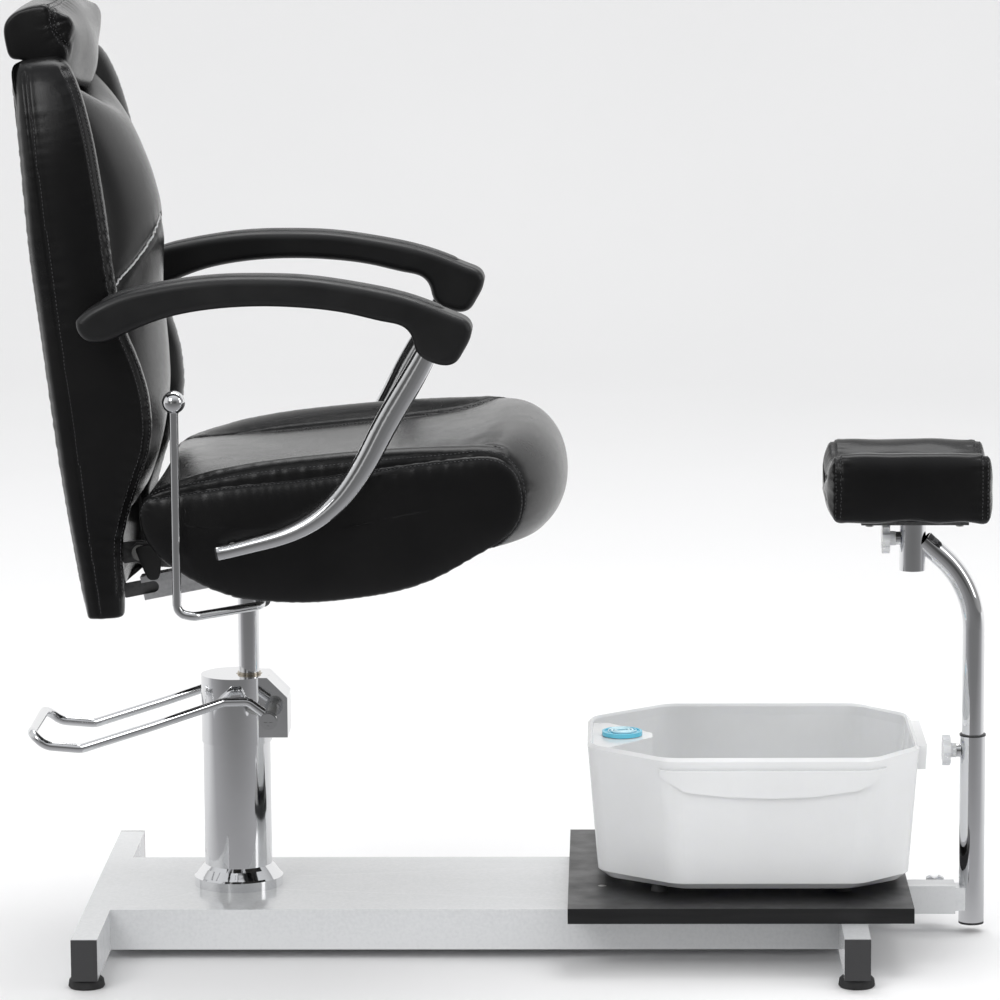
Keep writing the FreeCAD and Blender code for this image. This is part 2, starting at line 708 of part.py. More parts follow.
# arm pivot bolts through the side plate and the bolster into the inner wall of the arm
# tube, with a shoulder
node(both(fuse(cyl(pivot_rad, 82.5, arm_seat_x, -262.5, arm_seat_z, "y"),
               cyl(7.6, 3.5, arm_seat_x, -253, arm_seat_z, "y"),
               hexagon(8, 5, arm_seat_x, -180.5, arm_seat_z, "y"))), "arm_seat_bolts")

strut_run = (strut_seat_x - strut_back_x).value
strut_rise = (strut_seat_z - strut_back_z).value
strut_len = math.hypot(strut_run, strut_rise)


def in_strut(shape):
    """Place a shape whose x runs from the seat pivot towards the back pin."""
    angle = math.degrees(math.atan2(strut_rise, strut_run))
    shape.Placement = FreeCAD.Placement(vec(strut_seat_x, strut_y, strut_seat_z),
                                        FreeCAD.Rotation(ALONG_Y, 180 - angle))
    return feature(shape)


def strut_sleeve():
    slot_x, slot_half = 133, 6.8
    shape = Part.makeBox(158, 24, 28, V(-12, -12, -14))
    shape = shape.cut(Part.makeBox(134, 17, 19, V(16, -8.5, -9.5)))
    shape = shape.cut(y_cylinder(5.0, 40, 0, -20, 0))
    # open slots that let the back pin run in between the side walls
    shape = shape.cut(Part.makeBox(30, 40, 2 * slot_half, V(slot_x, -20, -slot_half)))
    return in_strut(shape.cut(y_cylinder(slot_half, 40, slot_x, -20, 0)))


def strut_bar():
    shape = Part.makeBox(strut_len - 72, 10, 16, V(66, -5, -8))
    shape = shape.fuse(y_cylinder(9, 10, strut_len, -5, 0))
    return in_strut(shape.cut(y_cylinder(6.6, 30, strut_len, -15, 0)).removeSplitter())


node(strut_sleeve(), "strut_sleeve")
node(strut_bar(), "strut_bar")

# ------------------------------------------------------------------------ back
# The back has its own frame at its lower rear corner, leaning rearwards: depth runs
# forwards through it and height up along it.
back_rot = FreeCAD.Rotation(V(0, -1, 0), lean.value)
lean_cos = math.cos(math.radians(lean.value))
lean_sin = math.sin(math.radians(lean.value))

# profiles: depth, height
PANEL = [(0, 2), (0, 20), (-5, 200), (-5, 400), (0, 560), (0, 640), (15, 642), (15, 2)]
PANEL_NOTCH = [(7.5, -6), (7.5, 24), (20, 24), (20, -6)]
BACK_CUSHION = [
    (42, 92), (58, 104), (78, 140), (98, 190), (112, 240), (116, 300), (114, 340), (120, 385),
    (123, 430), (117, 475), (106, 520), (94, 556), (82, 589), (42, 589),
]
BACK_BOLSTER = [
    (16, 2), (42, 2), (52, 60), (55, 86), (78, 138), (93, 165), (110, 205), (112, 225),
    (109, 278), (95, 326), (91, 378), (91, 459), (88, 520), (86, 585), (80, 630), (60, 640),
    (16, 640),
]
HEADREST = [
    (17, 592), (62, 592), (74, 615), (77, 645), (66, 672), (48, 700), (20, 704), (0, 700),
    (-8, 680), (-8, 645), (17, 645),
]
# plan outline x, y: full depth in the middle, thinner towards both sides
BACK_CROWN = [
    (-570, -148), (-570, 148), (-455, 148), (-412, 112), (-388, 60), (-380, 0), (-388, -60),
    (-412, -112), (-455, -148),
]


def back_extrude(points, width, y=0):
    body = extrude_y(points, width, y, back_x, back_z, back_rot)
    body.setExpression("Placement.Rotation.Angle", lean.text)
    return body


def in_back(x, z):
    """Depth and height in the back's frame of a point given in chair x and z."""
    dx, dz = num(x - back_x), num(z - back_z)
    return dx * lean_cos + dz * lean_sin, dx * -lean_sin + dz * lean_cos


node(cut(back_extrude(PANEL, back_half * 2 - 6), back_extrude(PANEL_NOTCH, 52, strut_y)),
     "back_panel")
node(common(back_extrude(BACK_CUSHION, 296), extrude_z(BACK_CROWN, 400, 1130)), "back_cushion")
node(both(cut(back_extrude(BACK_BOLSTER, 66, -192),
              cyl(6, 60, arm_back_x, -229, arm_back_z, "y"))), "back_side_bolsters")
node(back_extrude(HEADREST, 296), "headrest")


def back_frame():
    """Steel frame inside the back with hinge ears, cross bars and strut clevis."""
    thick = 6
    depth, height = in_back(hinge_x, hinge_z)
    uprights = []
    for y in (-156, 150):
        ear = Part.makeBox(depth - 18, thick, 24, V(18, y, height - 12))
        ear = ear.fuse(y_cylinder(12, thick, depth, y, height))
        upright = Part.makeBox(20, thick, 560, V(18, y, 14)).fuse(ear)
        bore = y_cylinder(run_gap + hinge_rad, 20, depth, y - 5, height)
        uprights.append(upright.cut(bore))
    frame = uprights[0].fuse(uprights[1])
    for bar_height in (24, 250, 500):
        frame = frame.fuse(Part.makeBox(thick, 301, 26, V(20, -150.5, bar_height)))
    depth, height = in_back(strut_back_x, strut_back_z)
    for y in (strut_y.value - 19.2, strut_y.value + 13.2):
        clevis = Part.makeBox(12, thick, 44, V(17, y, height - 2))
        clevis = clevis.fuse(y_cylinder(7.4, thick, depth, y, height))
        frame = frame.fuse(clevis.cut(y_cylinder(4.95, 12, depth, y - 3, height)))
    frame = frame.removeSplitter()
    frame.Placement = FreeCAD.Placement(vec(back_x, 0, back_z), back_rot)
    return feature(frame)


node(back_frame(), "back_frame")

# hinge pins with a head at each end, and the strut pin
strut_pin = fuse(cyl(4.9, 44, strut_back_x, strut_y - 23, strut_back_z, "y"),
                 cyl(8, 3.5, strut_back_x, strut_y - 22.8, strut_back_z, "y"))
hinge_pin = fuse(cyl(hinge_rad, 21, hinge_x, -166.2, hinge_z, "y"),
                 cyl(9, 3.5, hinge_x, -169.7, hinge_z, "y"),
                 cyl(9, 3.5, hinge_x, -149.8, hinge_z, "y"))
node(group(hinge_pin, mirror_y(hinge_pin), strut_pin), "back_pins")
# arm pivot bolt in a threaded steel insert inside the bolster
node(both(fuse(cyl(5, 58, arm_back_x, -252, arm_back_z, "y"),
               cyl(5.95, 30, arm_back_x, -224, arm_back_z, "y"))), "arm_back_bolts")


# ----------------------------------------------------------------------- lever
def recline_lever():
    """Upright stem at the right with a ball on top, bent inwards under the seat."""
    stem_x = pump_x - 44
    path = [
        vec(stem_x, lever_y, 666), vec(stem_x, lever_y, 436), vec(pump_x - 26, lever_y, 432),
        vec(lever_x, -190, lever_z), vec(lever_x, -70, lever_z),
    ]
    rod = pipe(path, [12, 14, 24], lever_rad)
    rod = rod.fuse(Part.makeBox(10, 4, 22, vec(lever_x - 5, -80, lever_z - 4)))
    ball = Part.makeSphere(13, vec(stem_x, lever_y, 677))
    ball = ball.cut(Part.makeCylinder(5.02, 12.05, vec(stem_x, lever_y, 654)))
    return feature(Part.makeCompound([rod.removeSplitter(), ball]))


node(recline_lever(), "recline_lever")

# ------------------------------------------------------------------------ arms
# arm pad, upper line from rear to front and lower line back again: x from the pump centre, z
PAD_UPPER = [
    (-150, 772), (-135, 785), (-118, 794), (-101, 801), (-73, 808), (-39, 814), (6, 819),
    (57, 820), (107, 818), (163, 810), (218, 798), (252, 786), (274, 777), (288, 770),
    (293, 760),
]
PAD_LOWER = [
    (290, 748), (283, 735), (274, 723), (266, 720), (251, 722), (238, 728), (230, 737),
    (226, 751), (218, 762), (196, 769), (162, 777), (106, 785), (57, 787), (-6, 783),
    (-51, 774), (-95, 757), (-127, 747), (-140, 750), (-149, 761),
]
# arm tube centre line from the bolt end up: x from the pump centre, z,
# half width in the side view, half width along y
TUBE_STATIONS = [
    (3, 504.5, 8.2, 8.0), (20, 508, 8.2, 8.0), (46, 514.5, 8.6, 8.2), (76, 523, 9.4, 8.6),
    (104, 535.5, 10.4, 9.2), (130, 554, 11.4, 9.6), (152, 578, 12.4, 10), (171, 607, 13.2, 10),
    (189, 641, 13.8, 10), (212, 681, 14.0, 10), (234, 719, 13.2, 10), (253.5, 752.5, 12.2, 10),
]
arm_pin_hole = y_cylinder(4.05, 40, arm_pad_x, -arm_y - 20, arm_pad_z)


def spline_edge(points):
    curve = Part.BSplineCurve()
    curve.interpolate([V(x, 0, z) for x, z in from_pump(points)])
    return curve.toShape()


def arm_pad():
    """Right arm pad."""
    upper = spline_edge(PAD_UPPER)
    lower = spline_edge([PAD_UPPER[-1]] + PAD_LOWER + [PAD_UPPER[0]])
    pad = Part.Face(Part.Wire([upper, lower])).extrude(vec(0, pad_wid, 0))
    pad.translate(vec(0, -arm_y - pad_wid / 2, 0))
    long_edges = [edge for edge in pad.Edges if edge.Length > 300]
    # the fillet can fail on the spline edges; a chamfer then takes its place
    try:
        rounded = pad.makeFillet(9, long_edges)
        if rounded.isValid() and rounded.Volume > 0.8 * pad.Volume:
            pad = rounded
    except Exception:
        pad = pad.makeChamfer(6, long_edges)
    # socket in the underside, in line with the upper part of the arm tube
    slope = math.degrees(math.atan2(641 - 742, 189 - 248))
    socket_box = Part.makeBox(37, 24, 48, V(-15.5, -12, -36))
    socket_box.Placement = FreeCAD.Placement(vec(arm_pad_x, -arm_y, arm_pad_z),
                                             FreeCAD.Rotation(ALONG_Y, -(slope + 90)))
    pad = pad.cut(socket_box).cut(arm_pin_hole)
    # recess in the inner face that takes the bolt from the back with room to spare
    return feature(pad.cut(y_cylinder(8.2, 24, arm_back_x, -arm_y + pad_wid / 2 - 20,
                                      arm_back_z)))


def tube_ring(i, inset):
    """Ellipse square to the arm tube's centre line at station i."""
    x, z, half_side, half_y = TUBE_STATIONS[i]
    before = TUBE_STATIONS[max(i - 1, 0)]
    after = TUBE_STATIONS[min(i + 1, len(TUBE_STATIONS) - 1)]
    along = V(after[0] - before[0], 0, after[1] - before[1]).normalize()
    ring = Part.Wire([Part.Ellipse(V(0, 0, 0), half_side - inset, half_y - inset).toShape()])
    ring.transformShape(FreeCAD.Matrix(-along.z, 0, along.x, x + pump_x.value,
                                       0, 1, 0, -arm_y.value,
                                       along.x, 0, along.z, z,
                                       0, 0, 0, 1))
    return ring


def arm_tube():
    """Right arm tube: wide and flat at the top, slim and nearly round at the bolt end."""
    outer, inner = [
        Part.makeLoft([tube_ring(i, inset) for i in range(len(TUBE_STATIONS))], True, False)
        for inset in (0, 1.8)
    ]
    tube = outer.cut(inner).cut(y_cylinder(5.0, 20, arm_seat_x, -arm_y, arm_seat_z))
    return feature(tube.cut(arm_pin_hole))


pad_right = arm_pad()
node(pad_right, "arm_pad_right")
node(mirror_y(pad_right), "arm_pad_left")
node(both(cyl(4, 34, arm_pad_x, -arm_y - 17, arm_pad_z, "y")), "arm_pad_pins")
tube_right = arm_tube()
node(tube_right, "arm_tube_right")
node(mirror_y(tube_right), "arm_tube_left")

# -------------------------------------------------------------------- leg rest
post_clamp_z = post_top - 18
pad_clamp_z = sleeve_top - 20
clamp_hole_rad = 4.1


def clamp_boss(x, radius, z, tube_z):
    """Threaded boss on the rear of an upright tube, hollowed to fit round it."""
    return cut(cyl(8, 5.5, x - radius - 4.6, 0, z, "x"),
               cyl(stud_hole_rad, 30, x - radius - 6, 0, z, "x"),
               cyl(radius - 0.5, 80, x, 0, tube_z))


# sliding square arm and the post at its front end
node(cut(arm_square(250, post_x - 8, 0), arm_square(249, post_x, -2),
         cyl(post_rad, 80, post_x, 0, 5)), "footrest_arm")
post_cap = fuse(cyl(post_rad, 2.5, post_x, 0, post_bot - 2.6),
                cyl(post_rad - 1.3, 10, post_x, 0, post_bot - 1))
post_bush = cut(fuse(cyl(post_rad - 1.25, 50, post_x, 0, post_top - 50),
                     cyl(post_rad + 0.6, 2, post_x, 0, post_top)),
                cyl(bent_rad + run_gap, 60, post_x, 0, post_top - 52),
                cyl(clamp_hole_rad, 8, post_x - 18, 0, post_clamp_z, "x"))
node(group(post_bush, post_cap), "post_bush_and_cap")
post = cut(cyl(post_rad, post_top - post_bot, post_x, 0, post_bot),
           cyl(post_rad - 1.2, 240, post_x, 0, post_bot - 1),
           cyl(clamp_hole_rad, 8, post_x - 18, 0, post_clamp_z, "x"))
node(fuse(post, clamp_boss(post_x, post_rad, post_clamp_z, post_top - 60)), "footrest_post")
star_knob(post_x - post_rad - 4.8, 0, post_clamp_z, V(-1, 0, 0), 6.2, "post_clamp_knob")


def bent_tube():
    """Tube that rises from the post and bends to the rear."""
    bend_z, bend_angle, tail, wall = 369, math.radians(48), 30, 1.5
    x0, bend = post_x.value, bent_bend.value

    def on_bend(angle):
        return V(x0 - bend * (1 - math.cos(angle)), 0, bend_z + bend * math.sin(angle))

    foot, start, end = vec(x0, 0, bent_bot), V(x0, 0, bend_z), on_bend(bend_angle)
    tip = end + V(-tail * math.sin(bend_angle), 0, tail * math.cos(bend_angle))
    arc = Part.Arc(start, on_bend(bend_angle / 2), end).toShape()
    spine = Part.Wire([line(foot, start), arc, line(end, tip)])
    outer, inner = [
        spine.makePipeShell([Part.Wire([Part.Circle(foot, V(0, 0, 1), radius).toShape()])],
                            True, False)
        for radius in (bent_rad.value, bent_rad.value - wall)
    ]
    # the end is cut to fit round the pad sleeve
    return feature(outer.cut(inner).cut(
        Part.makeCylinder(sleeve_rad.value, 200, vec(sleeve_x, 0, 380))))


# bent tube with the vertical sleeve welded to its end
pad_sleeve = cut(cyl(sleeve_rad, sleeve_top - sleeve_bot, sleeve_x, 0, sleeve_bot),
                 cyl(stem_rad + run_gap, 80, sleeve_x, 0, sleeve_bot - 5),
                 cyl(clamp_hole_rad, 8, sleeve_x - sleeve_rad - 2, 0, pad_clamp_z, "x"))
node(fuse(bent_tube(), pad_sleeve, clamp_boss(sleeve_x, sleeve_rad, pad_clamp_z, sleeve_bot)),
     "footrest_bent_tube")
star_knob(sleeve_x - sleeve_rad - 4.8, 0, pad_clamp_z, V(-1, 0, 0), 7.9, "pad_clamp_knob")
node(fuse(cyl(bent_rad, 3, post_x, 0, bent_bot - 3.2),
          cyl(bent_rad - 1.6, 12, post_x, 0, bent_bot - 1)), "bent_tube_plug")

# foot pad with its plate, stem and screws
pad_screw_places = grid((425, 531), (-35, 35))
stem_bot = 446
stem_plate = fuse(cyl(stem_rad, lpad_z0 - 4.5 - stem_bot, sleeve_x, 0, stem_bot),
                  box(415, 541, -45, 45, lpad_z0 - 4.5, lpad_z0 - 0.5))
node(cut(stem_plate, *[cyl(2.6, 8, x, y, lpad_z0 - 6) for x, y in pad_screw_places],
         cyl(8, 30, sleeve_x, 0, stem_bot - 1)), "pad_stem_plate")
node(fuse(cyl(stem_rad, 3, sleeve_x, 0, stem_bot - 3.2),
          cyl(7.9, 12, sleeve_x, 0, stem_bot - 1)), "stem_end_plug")
# cross outline (y, z), dished along the middle
foot_pad_outline = [
    (-lpad_half, lpad_z0), (lpad_half, lpad_z0), (lpad_half, lpad_z1 - 12),
    (lpad_half - 8, lpad_z1 - 2), (lpad_half - 22, lpad_z1), (lpad_half - 42, lpad_z1 - 9),
    (0, lpad_z1 - 15), (-lpad_half + 42, lpad_z1 - 9), (-lpad_half + 22, lpad_z1),
    (-lpad_half + 8, lpad_z1 - 2), (-lpad_half, lpad_z1 - 12),
]
node(cut(extrude_x(foot_pad_outline, lpad_x0, lpad_x1),
         *[cyl(2.6, 20, x, y, lpad_z0 - 1) for x, y in pad_screw_places]), "foot_pad")
node(group(*[fuse(cyl(2.5, 20, x, y, lpad_z0 - 5), cyl(4.8, 2.4, x, y, lpad_z0 - 7))
             for x, y in pad_screw_places]), "pad_screws")

# ----------------------------------------------------------------------- basin
floor_z, rim_z = basin_z0.value, basin_z1.value
wall = basin_wall.value
basin_foot_places = grid((177, 392), (-112, 112))


def basin_outline(grow, z, inset):
    """Octagon with soft corners; grow widens it, inset pulls the walls in for the taper."""
    x0, x1 = 93 + inset, 482 - inset
    half_y = 165 - inset + grow
    rear_bevel = x0 + 92 - inset * 0.2
    front_bevel = x1 - 56 - inset * 0.2
    # x, y, corner radius
    corners = [
        (x0 - grow, -82, 34), (x0 - grow, 82, 34), (rear_bevel, half_y, 40),
        (front_bevel, half_y, 34), (x1 + grow, 96, 30), (x1 + grow, -96, 30),
        (front_bevel, -half_y, 34), (rear_bevel, -half_y, 40),
    ]
    points = [V(x, y, z) for x, y, _ in corners]
    rounds = [round_corner(points[i - 1], points[i], points[(i + 1) % len(points)],
                           corners[i][2]) for i in range(len(points))]
    edges = []
    for i, (_, end, arc) in enumerate(rounds):
        next_start = rounds[(i + 1) % len(rounds)][0]
        edges += [arc, line(end, next_start)]
    return Part.Wire(edges)


def basin_loft(*rings):
    """Ruled loft through outlines given as (grow, z, inset)."""
    return Part.makeLoft([basin_outline(*ring) for ring in rings], True, True)


def prism(points, direction):
    return Part.Face(Part.makePolygon(points + points[:1])).extrude(direction)


def basin_tub():
    outer = basin_loft((0, floor_z + 8, 12), (0, rim_z - 14, 1), (0, rim_z - 4, 0))
    foot = basin_loft((0, floor_z, 22), (0, floor_z + 8, 12))
    rim = basin_loft((0, rim_z - 4, 0), (0, rim_z, 4))
    inner = basin_loft((-wall, floor_z + 5, 16), (-wall, rim_z - 14, 3), (-wall, rim_z - 3, 3),
                       (-wall, rim_z + 2, 0))
    # crescent lips along both sides, outline (x, z)
    crescent = [(176, 232), (440, 232), (440, 224), (406, 208), (356, 201), (305, 199),
                (255, 201), (208, 206), (176, 224)]
    band = basin_loft((4.5, rim_z - 50, 3), (4.5, rim_z - 13, 1))
    lips = band.common(prism([V(x, -400, z) for x, z in crescent], V(0, 800, 0)))
    # front lip that doubles as a handle
    handle = basin_loft((11, rim_z - 36, 3), (11, rim_z - 4, 1))
    handle = handle.common(Part.makeBox(60, 150, 40, V(462, -75, rim_z - 32)))
    tub = outer.fuse(foot).fuse(rim).fuse(lips).fuse(handle).cut(inner)

    # hollow wedge-shaped pod inside the rear wall that carries the dial, plans (x, y)
    pod_plan = [(97, -72), (97, 72), (118, 72), (170, 12), (170, -12), (118, -72)]
    hollow_plan = [(100, -66), (100, 66), (116, 66), (165, 9), (165, -9), (116, -66)]
    pod_z = floor_z + 10
    pod = prism([V(x, y, pod_z) for x, y in pod_plan], V(0, 0, rim_z - 6 - pod_z))
    hollow = prism([V(x, y, floor_z) for x, y in hollow_plan], V(0, 0, rim_z - 10 - floor_z))
    pod_zone = basin_loft((-1.0, floor_z + 6, 13), (-1.0, rim_z - 6, 1))
    hollow_zone = basin_loft((-wall, floor_z - 2, 16), (-wall, rim_z - 9, 2))
    tub = tub.fuse(pod.common(pod_zone)).cut(hollow.common(hollow_zone))
    tub = tub.cut(Part.makeCylinder(5.0, 12, vec(dial_x, 0, rim_z - 16)))
    for x, y in basin_foot_places:
        tub = tub.cut(Part.makeCylinder(1.9, 4.8, V(x, y, floor_z - 1)))
    return feature(tub.removeSplitter())


node(basin_tub(), "basin_tub")
node(group(*[fuse(cone(10, 8.5, basin_z0 - tray_top - 0.05, x, y, tray_top),
                  cyl(1.85, 4.5, x, y, basin_z0 - 1)) for x, y in basin_foot_places]),
     "basin_feet")
node(cut(fuse(cyl(dial_rad, 5, dial_x, 0, basin_z1 - 5.4),
              cyl(4.9, 16, dial_x, 0, basin_z1 - 20)),
         cyl(dial_rad - 3, 3, dial_x, 0, basin_z1 - 1.6)), "basin_dial")
node(cut(cyl(17, 20, dial_x, 0, basin_z1 - 31), cyl(5.0, 30, dial_x, 0, basin_z1 - 40)),
     "dial_switch_body")

# ---------------------------------------------------------------------- export
doc.recompute()
os.makedirs("parts", exist_ok=True)
for old in os.listdir("parts"):
    if old.endswith(".step"):
        os.remove(os.path.join("parts", old))
bad = []
for obj in doc.Objects:
    if "Invalid" in obj.State or "Error" in obj.State:
        bad.append("%s state %s" % (obj.Name, list(obj.State)))
for obj in NODES:
    shape = obj.Shape
    if shape.isNull() or not shape.isValid() or not shape.Solids:
        bad.append("%s (%s) shape null, invalid or without solids" % (obj.Label, obj.Name))
if bad:
    raise SystemExit("\n".join(bad))
for obj in NODES:
    obj.Shape.exportStep("parts/%s.step" % obj.Label)
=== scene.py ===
"""Upholstered reclining chair with arm rests, a leg rest pad and a round dial.

The chair faces +X, its right side is towards -Y and +Z is up.
Outlines and stations are in millimetres. Meshes, seam lines and sewing sizes are in metres.
"""
import json
import math
import bmesh
import bpy
import numpy as np
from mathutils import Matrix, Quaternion, Vector
from mathutils.bvhtree import BVHTree
from mathutils.kdtree import KDTree


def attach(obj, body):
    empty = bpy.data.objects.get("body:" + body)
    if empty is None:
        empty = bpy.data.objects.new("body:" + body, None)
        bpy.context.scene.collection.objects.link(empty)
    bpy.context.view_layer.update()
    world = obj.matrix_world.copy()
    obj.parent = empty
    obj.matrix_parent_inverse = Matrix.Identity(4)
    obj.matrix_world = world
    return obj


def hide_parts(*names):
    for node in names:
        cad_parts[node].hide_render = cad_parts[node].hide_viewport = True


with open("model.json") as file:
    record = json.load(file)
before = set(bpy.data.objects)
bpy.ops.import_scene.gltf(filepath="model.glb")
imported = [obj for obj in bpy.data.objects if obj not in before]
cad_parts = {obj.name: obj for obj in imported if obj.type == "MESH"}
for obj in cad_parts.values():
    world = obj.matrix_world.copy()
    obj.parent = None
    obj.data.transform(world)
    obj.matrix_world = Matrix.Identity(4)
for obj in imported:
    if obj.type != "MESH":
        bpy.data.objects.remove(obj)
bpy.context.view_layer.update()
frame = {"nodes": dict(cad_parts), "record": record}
NODES = frame["nodes"]
SCENE = bpy.context.scene
COLLECTION = SCENE.collection
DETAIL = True

STEP = 6.0 if DETAIL else 9.0      # mesh spacing of the soft pieces
LINE_STEP = 3                      # spacing of seam lines drawn from an outline
SIDES = ((-1, "right"), (1, "left"))
SEAT_X = -326.0                    # world x of the zero of the seat and arm outlines
ARM_Y = 262.0                      # distance of each arm rest from the middle


# ------------------------------------------------------------------ curves
def pchip(table, x):
    """Monotone cubic through a table of (stations, values), held level past its ends."""
    xs, ys = np.asarray(table, float)
    x = np.asarray(x, float)
    h = np.diff(xs)
    slope = np.diff(ys) / h
    m = np.zeros(len(xs))
    m[0], m[-1] = slope[0], slope[-1]
    for i in range(1, len(xs) - 1):
        if slope[i - 1] * slope[i] > 0:
            w1, w2 = 2 * h[i] + h[i - 1], h[i] + 2 * h[i - 1]
            m[i] = (w1 + w2) / (w1 / slope[i - 1] + w2 / slope[i])
    k = np.clip(np.searchsorted(xs, x) - 1, 0, len(xs) - 2)
    t = np.clip((x - xs[k]) / h[k], 0, 1)
    h00, h10 = 2 * t**3 - 3 * t**2 + 1, t**3 - 2 * t**2 + t
    h01, h11 = -2 * t**3 + 3 * t**2, t**3 - t**2
    return h00 * ys[k] + h10 * h[k] * m[k] + h01 * ys[k + 1] + h11 * h[k] * m[k + 1]


def catmull(points, counts):
    """Smooth closed curve through points with counts[i] samples on segment i."""
    p = np.asarray(points, float)
    n = len(p)
    out = []
    for i in range(n):
        a, b, c, d = (p[(i + k) % n] for k in (-1, 0, 1, 2))
        for k in range(counts[i]):
            t = k / counts[i]
            out.append(0.5 * (2 * b + (c - a) * t + (2 * a - 5 * b + 4 * c - d) * t**2
                              + (3 * b - a - 3 * c + d) * t**3))
    return np.array(out)


def seg_counts(points, step):
    """Number of samples for each segment of a closed outline."""
    p = np.asarray(points, float)
    return [max(1, int(round(np.linalg.norm(b - a) / step)))
            for a, b in zip(p, np.roll(p, -1, axis=0))]


def closed_curve(points, step):
    return catmull(points, seg_counts(points, step))


def mirrored(half):
    """Closed outline from a half that starts and ends near its first column's zero."""
    return half + [(-a, b) for a, b in half[:0:-1]]


def with_ends(ends, middle):
    """Stations (y, value) from -y to +y, with the same end stations on both sides."""
    return [(-y, value) for y, value in ends] + middle + ends[::-1]


def run_length(line):
    return np.r_[0, np.cumsum(np.linalg.norm(np.diff(line, axis=0), axis=1))]


def at_length(s, run, values):
    return np.array([np.interp(s, run, column) for column in values.T])


def resample(line, step):
    line = np.asarray(line, float)
    run = run_length(line)
    u = np.linspace(0, run[-1], max(2, int(round(run[-1] / step)) + 1))
    return at_length(u, run, line).T


def nearest(points, target):
    return int(np.argmin(np.linalg.norm(points - np.array(target), axis=1)))


def unit(v):
    return v / np.maximum(np.linalg.norm(v, axis=-1, keepdims=True), 1e-9)


def soft_noise(points, scale, seed):
    """Smooth repeatable noise from a few sine waves, about -1 to 1."""
    rng = np.random.RandomState(seed)
    total = np.zeros(len(points))
    for _ in range(7):
        wave = rng.normal(size=3)
        wave = wave / np.linalg.norm(wave) * (2 * math.pi / scale) * rng.uniform(0.5, 1.6)
        total += np.sin(points @ wave + rng.uniform(0, 6.28))
    return total / 3.2


# ------------------------------------------------------------------ mesh data
def shade_smooth(mesh):
    mesh.polygons.foreach_set("use_smooth", [True] * len(mesh.polygons))


def new_object(name, verts, faces):
    mesh = bpy.data.meshes.new(name)
    mesh.from_pydata([tuple(map(float, v)) for v in verts], [],
                     [tuple(map(int, f)) for f in faces])
    mesh.validate()
    mesh.update()
    ob = bpy.data.objects.new(name, mesh)
    COLLECTION.objects.link(ob)
    shade_smooth(mesh)
    return ob


def read_vectors(mesh, field):
    values = np.zeros(len(mesh.vertices) * 3)
    mesh.vertices.foreach_get(field, values)
    return values.reshape(-1, 3)


def coords(ob):
    return read_vectors(ob.data, "co")


def set_coords(ob, co):
    ob.data.vertices.foreach_set("co", np.asarray(co, float).ravel())
    ob.data.update()


def push_out(ob, distance):
    """Moves every vertex along its normal."""
    set_coords(ob, coords(ob) + read_vectors(ob.data, "normal") * distance[:, None])


def tidy(ob):
    """Merges doubled vertices and turns the normals outwards."""
    bm = bmesh.new()
    bm.from_mesh(ob.data)
    bmesh.ops.remove_doubles(bm, verts=bm.verts, dist=2e-5)
    bmesh.ops.recalc_face_normals(bm, faces=bm.faces)
    if bm.calc_volume(signed=True) < 0:
        bmesh.ops.reverse_faces(bm, faces=bm.faces)
    bm.to_mesh(ob.data)
    bm.free()
    shade_smooth(ob.data)
    ob.data.update()
    return ob


def subdivide(ob):
    """One level of subdivision, applied."""
    mod = ob.modifiers.new("sub", "SUBSURF")
    mod.levels = mod.render_levels = 1
    depsgraph = bpy.context.evaluated_depsgraph_get()
    mesh = bpy.data.meshes.new_from_object(ob.evaluated_get(depsgraph))
    old = ob.data
    ob.modifiers.clear()
    ob.data = mesh
    bpy.data.meshes.remove(old)
    shade_smooth(mesh)


def ring_quads(first, second, count):
    """Quads between two rings that start at vertices first and second."""
    return [(first + j, first + (j + 1) % count, second + (j + 1) % count, second + j)
            for j in range(count)]


def stack_faces(first, rings, count):
    """Quads between stacked rings, with one flat face over each end."""
    faces = []
    for i in range(rings - 1):
        faces += ring_quads(first + i * count, first + (i + 1) * count, count)
    last = first + (rings - 1) * count
    faces.append(tuple(range(first, first + count))[::-1])
    faces.append(tuple(range(last, last + count)))
    return faces


def ring_points(centre, x, y, radius, count):
    angles = [2 * math.pi * k / count for k in range(count)]
    return [centre + (x * math.cos(t) + y * math.sin(t)) * radius for t in angles]


def grid_faces(nu, nv):
    """Quads of a grid with nu by nv cells, stored v first."""
    row = nv + 1
    return [(i * row + j, (i + 1) * row + j, (i + 1) * row + j + 1, i * row + j + 1)
            for i in range(nu) for j in range(nv)]


def grid_rim(nu, nv):
    """Vertex numbers round the rim of that grid."""
    rim = [(i, 0) for i in range(nu)] + [(nu, j) for j in range(nv)]
    rim += [(i, nv) for i in range(nu, 0, -1)] + [(0, j) for j in range(nv, 0, -1)]
    return [i * (nv + 1) + j for i, j in rim]


def loft(name, rows, cap_rings):
    """Closed skin through equal closed loops (millimetres), with ringed end caps."""
    count = len(rows[0])
    verts = list(rows)
    faces = []
    for i in range(len(rows) - 1):
        faces += ring_quads(i * count, (i + 1) * count, count)
    total = len(rows) * count
    for end in (0, len(rows) - 1):
        turn = 1 if end else -1
        base = rows[end]
        middle = base.mean(0)
        previous = end * count
        for c in range(1, cap_rings):
            verts.append(middle + (base - middle) * (1 - c / cap_rings))
            faces += [f[::turn] for f in ring_quads(previous, total, count)]
            previous = total
            total += count
        verts.append(middle[None, :])
        for j in range(count):
            faces.append((previous + j, previous + (j + 1) % count, total)[::turn])
        total += 1
    return tidy(new_object(name, np.concatenate(verts) / 1000.0, faces))


def dress(ob, material, body):
    ob.data.materials.append(MATERIALS[material])
    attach(ob, body)


